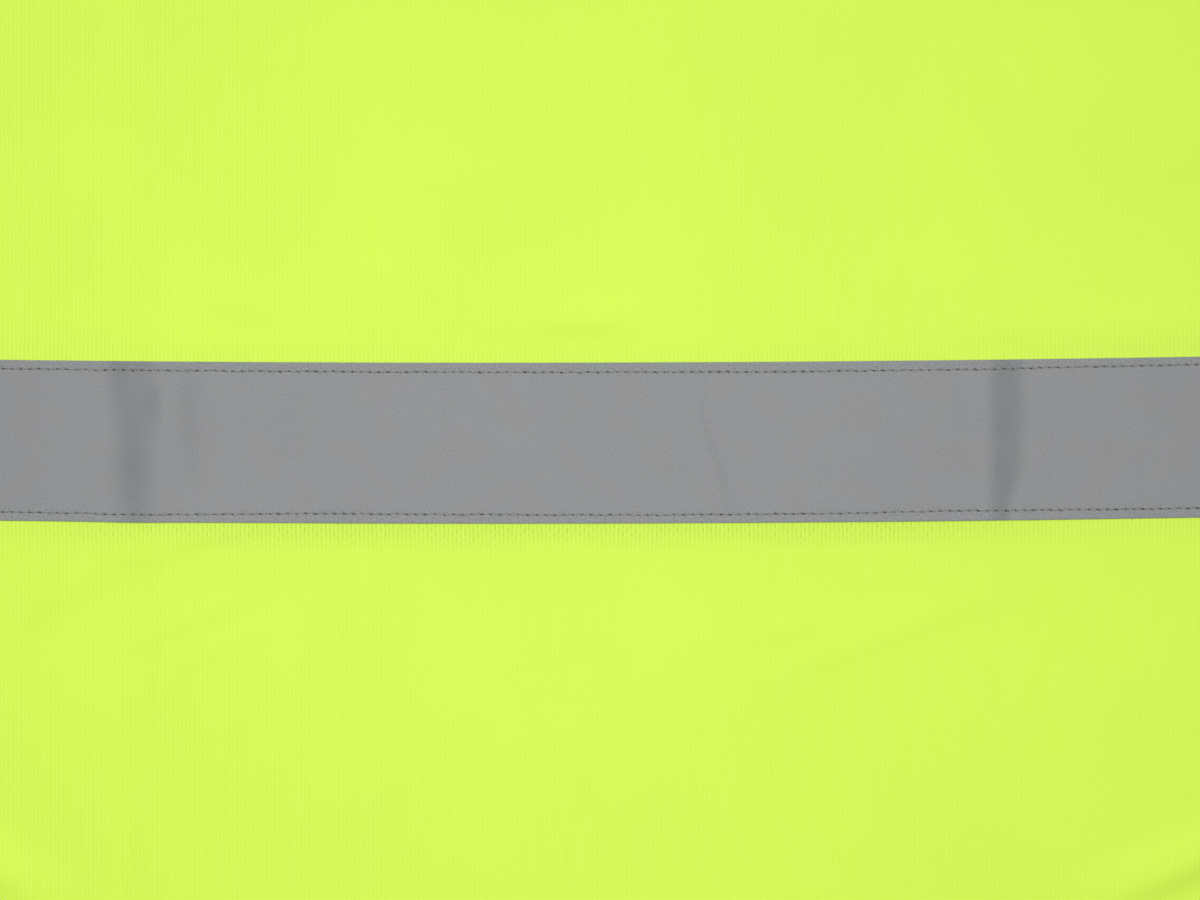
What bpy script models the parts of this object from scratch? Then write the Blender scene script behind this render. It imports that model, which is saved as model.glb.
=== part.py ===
"""A crew-neck work t-shirt, men's large, with one reflective band all round.

It lies flat on its back with its front up: X runs across it, Y from the hem to the neck and Z up
off the surface it lies on. Pattern points are measured from the middle of the hem, and the objects
are then placed with the origin under the middle of the whole garment.
"""

import math
from collections import namedtuple

import bpy
from mathutils import Vector

MM = 0.001

# The cut, laid flat
CHEST = 560 * MM
BODY_LENGTH = 740 * MM  # hem to the high point of the shoulder
SHOULDER_WIDTH = 470 * MM
SHOULDER_DROP = 42 * MM
ARMHOLE_DEPTH = 243 * MM
NECK_WIDTH = 180 * MM
SLEEVE_LENGTH = 220 * MM
SLEEVE_SLOPE = math.radians(22)
CUFF_WIDTH = 188 * MM
WAIST_IN = 4 * MM  # how far each side seam lies in, half way up
RIB_WIDTH = 20 * MM
RIB_RISE = 13 * MM  # how far the rib's side fold stands above the neck point
HEM_DEPTH = 25 * MM
SLEEVE_HEM_DEPTH = 20 * MM

# The reflective band
TAPE_WIDTH = 50 * MM
BAND_HEIGHT = 300 * MM  # its middle above the hem
BAND_BOW = 3 * MM  # how much further up it lies at the side seams
BOW_FADE = 130 * MM  # the cloth's bow is gone this far above or below the band

# Layers
CLOTH = 1.2 * MM
HEM_CLOTH = 1.8 * MM  # turned under and doubled
TAPE = 1.0 * MM
RIB = 1.6 * MM
GAP = 0.3 * MM  # between pieces that are sewn together or lie on each other
STEP_RUN = 8 * MM  # the back climbs over its tape in this distance

# The air between the front and the back
LOFT = 1.2 * MM
NECK_LOFT = 0.6 * MM  # held open by the rib's fold, where the shoulder seams end
LOFT_RUN = 30 * MM
NECK_LOFT_RUN = 80 * MM

# Heights of the rows of points below the underarm, with a row on each line where the form breaks
BODY_ROWS = [
    height * MM
    for height in (0, 24, 26, 75, 130, 185, 235, 267, 275, 300, 325, 333, 365, 410, 455)
]
TAPE_ROWS = [BAND_HEIGHT - TAPE_WIDTH / 2, BAND_HEIGHT, BAND_HEIGHT + TAPE_WIDTH / 2]
ARMHOLE_STEPS = (0, 0.08, 0.19, 0.32, 0.46, 0.61, 0.76, 0.89, 1)  # underarm to shoulder
SLEEVE_STEPS = (0, 0.12, 0.3, 0.5, 0.7, 0.9, 0.915, 1)  # armhole to cuff
FOLD_TURNS = [math.radians(angle) for angle in (0, 45, 90, 135, 180)]

# Where the columns of points start along the hem, from the middle to the side seam. The one at
# NECK_COLUMN ends at the neck point.
NECK_COLUMN = 100 * MM
COLUMNS = {
    "front": [
        x * MM
        for x in (0, 18, 36, 54, 70, 86, 100, 115, 126, 131, 136, 141, 149, 164, 186, 210, 235, 258, 272, 280)
    ],
    "back": [x * MM for x in (0, 27, 53, 76, 90, 100, 136, 180, 225, 260, 280)],
}

# One row for each side's neckline: its depth, and the handles of its curve, level at the middle
# and steep at the neck point.
Neckline = namedtuple("Neckline", "drop middle_handle side_handle_x side_handle_y")
NECKLINES = {
    "front": Neckline(95 * MM, 55 * MM, 6 * MM, 50 * MM),
    "back": Neckline(20 * MM, 45 * MM, 10 * MM, 14 * MM),
}

# One row for each side's armhole: how far it is hollowed at the shoulder and at the underarm.
Armhole = namedtuple("Armhole", "shoulder_in shoulder_down underarm_in underarm_up")
ARMHOLES = {
    "front": Armhole(19 * MM, 108 * MM, 48 * MM, 15 * MM),
    "back": Armhole(12 * MM, 104 * MM, 42 * MM, 15 * MM),
}

# One row for each large fold of the upper layer, in mm: from one end to the other, half its width
# and how far it stands up, or down if negative. It fades out over its last FOLD_FADE.
Fold = namedtuple("Fold", "what x0 y0 x1 y1 half_width height")
FOLD_FADE = 60 * MM
FOLDS = (
    Fold("packing crease", -137, 8, -134, 655, 9, -1.0),
    Fold("packing crease", 137, 8, 136, 655, 6, -1.1),
    Fold("crease where it was folded across", -272, 486, 272, 488, 9, 0.7),
    Fold("drag below the underarm", -262, 438, -150, 355, 16, 0.9),
    Fold("drag below the underarm", 258, 430, 168, 372, 14, 0.8),
    Fold("drag above the hem", -250, 60, -60, 120, 20, 0.8),
    Fold("drag above the hem", 60, 52, 236, 132, 22, 0.7),
    Fold("hollow under the neck", -70, 560, 60, 578, 26, -0.6),
    Fold("fold along the sleeve", -262, 520, -400, 545, 15, 1.5),
    Fold("fold along the sleeve", 256, 560, 396, 500, 15, 1.3),
)

Finish = namedtuple("Finish", "colour roughness metallic")
KNIT = Finish((0.69, 0.95, 0.105), 0.85, 0.0)
RIB_KNIT = Finish((0.66, 0.92, 0.10), 0.85, 0.0)
REFLECTIVE = Finish((0.29, 0.30, 0.31), 0.45, 0.2)


def along_sleeve():
    return Vector((math.cos(SLEEVE_SLOPE), -math.sin(SLEEVE_SLOPE)))


def across_sleeve():
    return Vector((-math.sin(SLEEVE_SLOPE), -math.cos(SLEEVE_SLOPE)))


# The corners of the wearer's left half
NECK_POINT = Vector((NECK_WIDTH / 2, BODY_LENGTH))
SHOULDER = Vector((SHOULDER_WIDTH / 2, BODY_LENGTH - SHOULDER_DROP))
UNDERARM = Vector((CHEST / 2, SHOULDER.y - ARMHOLE_DEPTH))
HEM_CORNER = Vector((CHEST / 2, 0))
CUFF_TOP = SHOULDER + along_sleeve() * SLEEVE_LENGTH
CUFF_BOTTOM = CUFF_TOP + across_sleeve() * CUFF_WIDTH
SHOULDER_SEAM_START = NECK_POINT.lerp(SHOULDER, 0.2)  # where the layers are close enough to touch
CLOSED_EDGES = (
    (HEM_CORNER, UNDERARM),
    (UNDERARM, CUFF_BOTTOM),
    (CUFF_TOP, SHOULDER),
    (SHOULDER, SHOULDER_SEAM_START),
)


def clamp(value):
    return min(max(value, 0.0), 1.0)


def ease(value):
    """From 0 to 1 with a level start and end."""
    value = clamp(value)
    return value * value * (3 - 2 * value)


def bezier(a, b, c, d, share):
    rest = 1 - share
    return a * rest**3 + b * (3 * rest * rest * share) + c * (3 * rest * share * share) + d * share**3


def place_on_segment(point, start, end):
    """How far along a segment a point lies, and its distance from it."""
    run = end - start
    along = clamp((point - start).dot(run) / run.length_squared)
    return along, (start + run * along - point).length


# Outlines


def armhole(side, share):
    """A point of the armhole, from the underarm to the shoulder."""
    cut = ARMHOLES[side]
    low_handle = UNDERARM + Vector((-cut.underarm_in, cut.underarm_up))
    high_handle = SHOULDER + Vector((-cut.shoulder_in, -cut.shoulder_down))
    return bezier(UNDERARM, low_handle, high_handle, SHOULDER, share)


def neckline(side, share):
    """A point of the neckline, from the middle to the neck point."""
    cut = NECKLINES[side]
    middle = Vector((0, BODY_LENGTH - cut.drop))
    middle_handle = middle + Vector((cut.middle_handle, 0))
    side_handle = NECK_POINT - Vector((cut.side_handle_x, cut.side_handle_y))
    return bezier(middle, middle_handle, side_handle, NECK_POINT, share)


def normal_of(curve, side, share, away):
    """The unit normal of a curve, 90 degrees clockwise of its run when away is 1."""
    run = curve(side, min(share + 0.01, 1)) - curve(side, max(share - 0.01, 0))
    return Vector((run.y, -run.x)).normalized() * away


def top_edge(side, share):
    """A point of a panel's upper edge: the neckline, then the shoulder seam."""
    neck_share = NECK_COLUMN / (CHEST / 2)
    if share <= neck_share:
        return neckline(side, share / neck_share)
    return NECK_POINT.lerp(SHOULDER, (share - neck_share) / (1 - neck_share))


def outside_band(height):
    """How far a level is above or below the band's edges."""
    return max(abs(height - BAND_HEIGHT) - TAPE_WIDTH / 2, 0)


def body_point(share, height):
    """A point below the underarm, where the sides lie in and the band lies in a bow."""
    half_width = CHEST / 2 - WAIST_IN * math.sin(math.pi * height / UNDERARM.y)
    bow = BAND_BOW * share * share * ease(1 - outside_band(height) / BOW_FADE)
    return Vector((share * half_width, height + bow))


def panel_point(side, share, height, rise):
    """Where a point of a panel lies. share runs from the middle to the side, and rise from the
    underarm's level to the upper edge, blended from the four edges of that part."""
    if rise == 0:
        return body_point(share, height)
    top_middle, top_side = top_edge(side, 0), top_edge(side, 1)
    low_middle = Vector((0, UNDERARM.y))
    across = low_middle.lerp(UNDERARM, share).lerp(top_edge(side, share), rise)
    upward = low_middle.lerp(top_middle, rise).lerp(armhole(side, rise), share)
    corners = low_middle.lerp(UNDERARM, share).lerp(top_middle.lerp(top_side, share), rise)
    return across + upward - corners


# Heights


def back_lift(height):
    """How far the back panel is lifted by its tape."""
    return (TAPE + GAP) * (1 - clamp(outside_band(height) / STEP_RUN))


def body_wall(height):
    return HEM_CLOTH if height < HEM_DEPTH else CLOTH


def fold_height(x, y):
    """What the large folds add to the upper layer."""
    point = Vector((x, y))
    total = 0
    for fold in FOLDS:
        start, end = Vector((fold.x0, fold.y0)) * MM, Vector((fold.x1, fold.y1)) * MM
        along, distance = place_on_segment(point, start, end)
        to_end = min(along, 1 - along) * (end - start).length
        shape = ease(1 - distance / (fold.half_width * MM))
        total += fold.height * MM * shape * ease(to_end / FOLD_FADE)
    return total


def layer_gap(x, y):
    """The air between the back and the front at a place: closed at the seams, open inside."""
    point = Vector((abs(x), y))
    inside = min(place_on_segment(point, start, end)[1] for start, end in CLOSED_EDGES)
    from_neck = (point - NECK_POINT).length
    loft = max(LOFT * ease(inside / LOFT_RUN), NECK_LOFT * ease(1 - from_neck / NECK_LOFT_RUN))
    return max(GAP + loft + fold_height(x, y) * ease(inside / LOFT_RUN), GAP)


# Meshes


def new_object(name, finish, points, faces):
    """One closed body with a finish of its own."""
    mesh = bpy.data.meshes.new(name)
    mesh.from_pydata([tuple(point) for point in points], [], faces)
    mesh.update()
    mesh.shade_smooth()
    mesh.set_sharp_from_angle(angle=math.radians(40))
    material = bpy.data.materials.new(name)
    material.use_nodes = True
    shader = material.node_tree.nodes["Principled BSDF"]
    shader.inputs["Base Color"].default_value = (*finish.colour, 1)
    shader.inputs["Roughness"].default_value = finish.roughness
    shader.inputs["Metallic"].default_value = finish.metallic
    mesh.materials.append(material)
    piece = bpy.data.objects.new(name, mesh)
    bpy.context.scene.collection.objects.link(piece)
    return piece


def triangles(a, b, c, d):
    """A four-cornered face as two triangles, split the same way on every layer."""
    return [(a, b, c), (a, c, d)]


def slab(name, finish, grid):
    """A closed sheet from rows of (point, underside, top), lowest row first, left to right."""
    rows, columns = len(grid), len(grid[0])
    count = rows * columns
    cells = [cell for row in grid for cell in row]
    points = [(*point, top) for point, under, top in cells]
    points += [(*point, under) for point, under, top in cells]
    faces = []
    for row in range(rows - 1):
        for column in range(columns - 1):
            a = row * columns + column
            corners = (a, a + 1, a + 1 + columns, a + columns)
            for face in triangles(*corners):
                faces.append(face)
                faces.append(tuple(index + count for index in reversed(face)))
    border = [column for column in range(columns)]
    border += [row * columns + columns - 1 for row in range(1, rows)]
    border += [(rows - 1) * columns + column for column in range(columns - 2, -1, -1)]
    border += [row * columns for row in range(rows - 2, 0, -1)]
    for here, following in zip(border, border[1:] + border[:1]):
        faces.append((here, here + count, following + count, following))
    return new_object(name, finish, points, faces)


def ring(name, finish, sections, mirrored=False):
    """A closed body from closed sections that follow each other round a closed path."""
    size = len(sections[0])
    points = [point for section in sections for point in section]
    if mirrored:
        points = [(-x, y, z) for x, y, z in points]
    faces = []
    for number in range(len(sections)):
        after = (number + 1) % len(sections)
        for corner in range(size):
            beside = (corner + 1) % size
            a, b = number * size + corner, number * size + beside
            c, d = after * size + beside, after * size + corner
            faces += triangles(d, c, b, a) if mirrored else triangles(a, b, c, d)
    return new_object(name, finish, points, faces)


# Pieces


def full_width(columns):
    """Signed shares of the half width, from the right side seam to the left one."""
    shares = [x / (CHEST / 2) for x in columns]
    return [-share for share in reversed(shares[1:])] + shares


def body_rows():
    """(height, rise) of every row of a panel."""
    return [(height, 0) for height in BODY_ROWS] + [(UNDERARM.y, step) for step in ARMHOLE_STEPS[1:]]


def panel_place(side, share, height, rise):
    point = panel_point(side, abs(share), height, rise)
    return Vector((math.copysign(point.x, share), point.y))


def front_underside(point, height):
    return back_lift(height) + body_wall(height) + layer_gap(point.x, point.y)


def make_back_panel():
    grid = []
    for height, rise in body_rows():
        under = back_lift(height)
        top = under + body_wall(height)
        shares = full_width(COLUMNS["back"])
        grid.append([(panel_place("back", share, height, rise), under, top) for share in shares])
    return slab("back_panel", KNIT, grid)


def make_front_panel():
    grid = []
    for height, rise in body_rows():
        row = []
        for share in full_width(COLUMNS["front"]):
            point = panel_place("front", share, height, rise)
            under = front_underside(point, height)
            row.append((point, under, under + body_wall(height)))
        grid.append(row)
    return slab("front_panel", KNIT, grid)


def make_tape_back():
    """Between the back panel and the surface, so that it lies flat."""
    shares = full_width(COLUMNS["back"])
    grid = [[(panel_place("back", share, height, 0), 0, TAPE) for share in shares] for height in TAPE_ROWS]
    return slab("tape_back", REFLECTIVE, grid)


def make_tape_front():
    """The front panel's own points, moved out."""
    grid = []
    for height in TAPE_ROWS:
        row = []
        for share in full_width(COLUMNS["front"]):
            point = panel_place("front", share, height, 0)
            under = front_underside(point, height) + CLOTH + GAP
            row.append((point, under, under + TAPE))
        grid.append(row)
    return slab("tape_front", REFLECTIVE, grid)


def sleeve_point(side, share, station):
    """A point of a sleeve's layer. share runs from the underarm seam to the upper fold."""
    start = armhole(side, share) + normal_of(armhole, side, share, 1) * GAP
    return start.lerp(CUFF_BOTTOM.lerp(CUFF_TOP, share), station)


def turned_edge(end, inward, wall, gap, downward):
    """The outer and inner points of a folded edge, from one layer to the other."""
    middle = wall + gap / 2
    centre = end + inward * middle
    outer, inner = [], []
    for turn in FOLD_TURNS if downward else reversed(FOLD_TURNS):
        for loop, radius in ((outer, middle), (inner, gap / 2)):
            point = centre - inward * (radius * math.sin(turn))
            loop.append((point.x, point.y, middle + radius * math.cos(turn)))
    return outer, inner


def sleeve_loops(station, sign):
    """The sleeve's outer and inner surface at one station, right round it."""
    hemmed = station > 1 - SLEEVE_HEM_DEPTH / SLEEVE_LENGTH
    wall = HEM_CLOTH if hemmed else CLOTH
    upper = [sleeve_point("front", share, station) for share in ARMHOLE_STEPS]
    lower = [sleeve_point("back", share, station) for share in ARMHOLE_STEPS]

    def gap_at(point):
        return layer_gap(sign * point.x, point.y)

    outer = [(*point, 2 * wall + gap_at(point)) for point in upper[1:-1]]
    inner = [(*point, wall + gap_at(point)) for point in upper[1:-1]]
    top_fold = turned_edge(upper[-1], (upper[-2] - upper[-1]).normalized(), wall, GAP, True)
    under_seam = turned_edge(upper[0], (upper[1] - upper[0]).normalized(), wall, GAP, False)
    outer += top_fold[0] + [(*point, 0) for point in reversed(lower[1:-1])] + under_seam[0]
    inner += top_fold[1] + [(*point, wall) for point in reversed(lower[1:-1])] + under_seam[1]
    return outer, inner


def make_sleeve(name, sign):
    """A flattened tube, open at the armhole and at the cuff."""
    loops = [sleeve_loops(station, sign) for station in SLEEVE_STEPS]
    sections = []
    for place in range(len(loops[0][0])):
        outside = [outer[place] for outer, inner in loops]
        inside = [inner[place] for outer, inner in reversed(loops)]
        sections.append(outside + inside)
    return ring(name, KNIT, sections, mirrored=sign < 0)


def rib_section(seam, width_way, middle, face_way, face_up):
    """A section of the rib: its seam edge square, its free edge rounded. Its outer face points
    along face_way in plan and by face_up in height."""
    half = RIB / 2
    corners = ((0, -half), (RIB_WIDTH - half, -half), (RIB_WIDTH, 0), (RIB_WIDTH - half, half), (0, half))
    section = []
    for along, out in corners:
        point = seam + width_way * along + face_way * out
        section.append((point.x, point.y, middle + face_up * out))
    return section


def rib_half(side):
    """Sections of the rib along one neckline, from the middle to the neck point, with the two
    directions that they need there."""
    fold_way = Vector((-math.sqrt(RIB_WIDTH**2 - RIB_RISE**2), RIB_RISE)) / RIB_WIDTH
    shares = [x / NECK_COLUMN for x in COLUMNS[side] if x <= NECK_COLUMN]
    sections = []
    for share in shares:
        edge = neckline(side, share)
        into_neck = Vector((0, 1)) if share == 0 else normal_of(neckline, side, share, -1)
        width_way = into_neck.lerp(fold_way, ease((share - 0.6) / 0.4)).normalized()
        sections.append((edge + into_neck * GAP, width_way, edge))
    return sections


def make_neck_rib():
    """A closed ring: its front half level with the front panel, its back half on the surface."""
    low_middle = RIB / 2
    level = Vector((0, 0))
    front, back = rib_half("front"), rib_half("back")
    half = []
    for seam, width_way, edge in front:
        middle = CLOTH + layer_gap(edge.x, edge.y) + CLOTH / 2
        half.append(rib_section(seam, width_way, middle, level, 1))
    seam, width_way, edge = front[-1]
    outward = Vector((width_way.y, -width_way.x))
    radius = (middle - low_middle) / 2
    for turn in FOLD_TURNS[1:-1]:
        turned_seam = seam + outward * (radius * math.sin(turn))
        height = low_middle + radius * (1 + math.cos(turn))
        half.append(rib_section(turned_seam, width_way, height, outward * math.sin(turn), math.cos(turn)))
    for seam, width_way, edge in reversed(back):
        half.append(rib_section(seam, width_way, low_middle, level, -1))
    other_half = [[(-x, y, z) for x, y, z in section] for section in reversed(half[1:-1])]
    return ring("neck_rib", RIB_KNIT, half + other_half)


def main():
    for old in list(bpy.data.objects):
        bpy.data.objects.remove(old)
    garment = bpy.data.objects.new("hi_vis_t_shirt", None)
    bpy.context.scene.collection.objects.link(garment)
    pieces = [
        make_back_panel(),
        make_front_panel(),
        make_sleeve("sleeve_left", 1),
        make_sleeve("sleeve_right", -1),
        make_neck_rib(),
        make_tape_back(),
        make_tape_front(),
    ]
    levels = [vertex.co.y for piece in pieces for vertex in piece.data.vertices]
    garment.location.y = -(min(levels) + max(levels)) / 2
    for piece in pieces:
        piece.parent = garment


main()
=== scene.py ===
# A hi-vis t-shirt, laid flat with its front up and seen from straight above
import math

import bpy
import numpy as np
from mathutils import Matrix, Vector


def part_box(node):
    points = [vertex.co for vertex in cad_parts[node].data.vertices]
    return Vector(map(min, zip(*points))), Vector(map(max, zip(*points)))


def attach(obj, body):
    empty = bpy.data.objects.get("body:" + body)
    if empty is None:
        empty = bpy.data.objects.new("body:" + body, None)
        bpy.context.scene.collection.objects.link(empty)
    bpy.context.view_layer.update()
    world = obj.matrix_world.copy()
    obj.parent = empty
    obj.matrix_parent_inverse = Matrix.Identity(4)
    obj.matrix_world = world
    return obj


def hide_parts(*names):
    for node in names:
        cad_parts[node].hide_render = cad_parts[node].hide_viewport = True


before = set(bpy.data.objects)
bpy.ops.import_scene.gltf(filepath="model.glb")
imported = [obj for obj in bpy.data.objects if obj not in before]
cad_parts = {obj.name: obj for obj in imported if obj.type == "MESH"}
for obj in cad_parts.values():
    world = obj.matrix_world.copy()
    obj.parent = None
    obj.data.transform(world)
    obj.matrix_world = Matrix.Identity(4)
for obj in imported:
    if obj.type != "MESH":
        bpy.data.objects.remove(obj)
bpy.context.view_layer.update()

mm = 0.001
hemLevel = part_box("front_panel")[0].y / mm  # pattern heights start at the hem

# The cut and its layers, in mm, the same as the solids have
shirt = {
    "chest": 560, "length": 740, "shoulderWidth": 470, "shoulderDrop": 42, "armholeDepth": 243,
    "neckWidth": 180, "sleeveLength": 220, "sleeveSlope": 22, "cuffWidth": 188, "waistIn": 4,
    "hem": 25, "cuffHem": 20, "tapeWidth": 50, "bandHeight": 300, "bandBow": 3, "bowFade": 130,
    "wall": 1.2, "hemWall": 1.8, "gap": 0.3, "loft": 1.2, "loftRun": 30, "neckLoft": 0.6,
    "neckLoftRun": 80, "ribWidth": 20, "ribRise": 13, "ribThickness": 1.6, "neckColumn": 100,
    "bandTilt": 0.5,  # the band lies this much higher at the left side seam, and lower at the right
    "looseShoulder": 0.2,  # the part of the shoulder beside the neck that doesn't press the layers together
}
cloth = {
    "thickness": 0.7, "hemThickness": 1.3,  # the real cloth, thinner than the solids' walls
    "hemStep": 1.6, "hemStepInside": 0.6,  # the step at a hem's raw edge, and how much of it is on the hem
    "edgeRound": 0.6, "edgeLeft": 0.25,  # how an edge is rounded, in thicknesses
    "stray": 2.2, "strayWave": 95,  # how far the outline strays from the cut, and from wave to wave
    "sharpAngle": 60,  # degrees
}
# the garment lies calm round the band: how far out that holds, as a height, and how soon it ends
calm = {"widthRatio": 1.5, "folds": 130, "strongFolds": 190, "outline": 188, "run": 90}
# the band's lower edge kinks at the crease on its right side: in half chests, then in mm
bandKink = {"at": -0.485, "halfWidth": 0.05, "drop": 0.22, "reach": 20}

# side: how deep the neckline is, then its handles
necklineCut = {"front": (95, 55, 6, 50), "back": (20, 45, 10, 14)}
# side: how far the armhole is hollowed at the shoulder and at the underarm
armholeCut = {"front": (19, 108, 48, 15), "back": (12, 104, 42, 15)}

slope = math.radians(shirt["sleeveSlope"])
alongSleeve = np.array([math.cos(slope), -math.sin(slope)])
acrossSleeve = np.array([-math.sin(slope), -math.cos(slope)])
neckPoint = np.array([shirt["neckWidth"] / 2, shirt["length"]], float)
shoulder = np.array([shirt["shoulderWidth"] / 2, shirt["length"] - shirt["shoulderDrop"]], float)
underarm = np.array([shirt["chest"] / 2, shoulder[1] - shirt["armholeDepth"]], float)
cuffTop = shoulder + alongSleeve * shirt["sleeveLength"]
cuffBottom = cuffTop + acrossSleeve * shirt["cuffWidth"]
bandLow = shirt["bandHeight"] - shirt["tapeWidth"] / 2
bandHigh = shirt["bandHeight"] + shirt["tapeWidth"] / 2
halfChest = shirt["chest"] / 2
yoke = shirt["length"] - underarm[1]  # from the underarm to the top of the shoulder
neckShare = shirt["neckColumn"] / halfChest
farBelow = 99  # stands for well under the shoulder


# Curves and soft noise

def ease(value):
    value = np.clip(value, 0, 1)
    return value * value * (3 - 2 * value)


def bezier(a, b, c, d, share):
    share = np.asarray(share, float)[..., None]
    rest = 1 - share
    return a * rest**3 + b * 3 * rest**2 * share + c * 3 * rest * share**2 + d * share**3


def quarterRound(share):
    return np.sqrt(1 - (1 - np.clip(share, 0, 1)) ** 2)


def nearSegment(x, y, start, end):
    runX, runY = end[0] - start[0], end[1] - start[1]
    length = math.hypot(runX, runY)
    along = ((x - start[0]) * runX + (y - start[1]) * runY) / length**2
    aside = ((x - start[0]) * -runY + (y - start[1]) * runX) / length
    held = np.clip(along, 0, 1)
    away = np.hypot(start[0] + held * runX - x, start[1] + held * runY - y)
    return held, away, aside, length


def waver(x, spacing, seed):
    # smooth noise along a line, from -1 to 1
    knots = np.random.default_rng(seed).uniform(-1, 1, 1000)
    place = np.asarray(x, float) / spacing + 500
    low = np.floor(place).astype(int)
    blend = ease(place - low)
    return knots[low] * (1 - blend) + knots[low + 1] * blend


def ripple(x, y, spacing, seed):
    # smooth noise over the cloth, from -1 to 1
    knots = np.random.default_rng(seed).uniform(-1, 1, (256, 256))
    across, up = x / spacing + 128, y / spacing + 20
    i, j = np.floor(across).astype(int), np.floor(up).astype(int)
    u, v = ease(across - i), ease(up - j)
    low = knots[j, i] * (1 - u) + knots[j, i + 1] * u
    high = knots[j + 1, i] * (1 - u) + knots[j + 1, i + 1] * u
    return low * (1 - v) + high * v


def unrest(x, y, start):
    # 0 where the garment lies calm and 1 well outside that
    fromBand = np.hypot(x / calm["widthRatio"], y - shirt["bandHeight"])
    return ease((fromBand - start) / calm["run"])


def hemmed(plain, turned, fromEdge, hemWidth):
    # a thickness that grows from the plain cloth to its turned hem, with the raw edge as a faint step
    onCloth = ease((fromEdge - hemWidth + cloth["hemStepInside"]) / cloth["hemStep"])
    return plain + (turned - plain) * (1 - onCloth)


# The pattern's outlines

def armhole(side, share):
    downIn, down, upIn, up = armholeCut[side]
    lowHandle = underarm + np.array([-upIn, up])
    highHandle = shoulder + np.array([-downIn, -down])
    return bezier(underarm, lowHandle, highHandle, shoulder, share)


def neckline(side, share):
    drop, middleHandle, sideX, sideY = necklineCut[side]
    middle = np.array([0, shirt["length"] - drop], float)
    return bezier(middle, middle + np.array([middleHandle, 0]),
                  neckPoint - np.array([sideX, sideY]), neckPoint, share)


def normalOf(curve, side, share, away):
    share = np.asarray(share, float)
    run = curve(side, np.minimum(share + 0.01, 1)) - curve(side, np.maximum(share - 0.01, 0))
    normal = np.stack([run[..., 1], -run[..., 0]], -1)
    return normal / np.linalg.norm(normal, axis=-1, keepdims=True) * away


def topEdge(side, share):
    onNeck = neckline(side, np.clip(share / neckShare, 0, 1))
    along = np.clip((share - neckShare) / (1 - neckShare), 0, 1)[..., None]
    return np.where((share <= neckShare)[..., None], onNeck, neckPoint * (1 - along) + shoulder * along)


def outsideBand(height):
    return np.maximum(np.abs(height - shirt["bandHeight"]) - shirt["tapeWidth"] / 2, 0)


def bodyHalfWidth(height):
    return halfChest - shirt["waistIn"] * np.sin(math.pi * height / underarm[1])


def bodyLevel(share, height):
    # the band lies in a shallow bow, a little askew
    fade = ease(1 - outsideBand(height) / shirt["bowFade"])
    kink = bandKink["drop"] * np.exp(-((share - bandKink["at"]) / bandKink["halfWidth"]) ** 2)
    kink = kink * ease(1 - np.abs(height - bandLow) / bandKink["reach"])
    return height + (shirt["bandBow"] * share**2 + shirt["bandTilt"] * share) * fade - kink


def panelPlace(side, share, height, rise):
    # where a point of a panel lies: a straight part below the underarm and a blended one above
    size = np.abs(share)
    lowX, lowY = share * bodyHalfWidth(height), bodyLevel(share, height)
    top, arm = topEdge(side, size), armhole(side, rise)
    topMiddle, topSide = topEdge(side, np.zeros(1))[0], shoulder
    u, v = size[..., None], rise[..., None]
    middleLow = np.array([0, underarm[1]])
    across = (middleLow * (1 - u) + underarm * u) * (1 - v) + top * v
    upward = (middleLow * (1 - v) + topMiddle * v) * (1 - u) + arm * u
    corners = (middleLow * (1 - u) + underarm * u) * (1 - v) + (topMiddle * (1 - u) + topSide * u) * v
    high = across + upward - corners
    isHigh = rise > 0
    return np.where(isHigh, high[..., 0] * np.sign(share), lowX), np.where(isHigh, high[..., 1], lowY)


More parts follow.
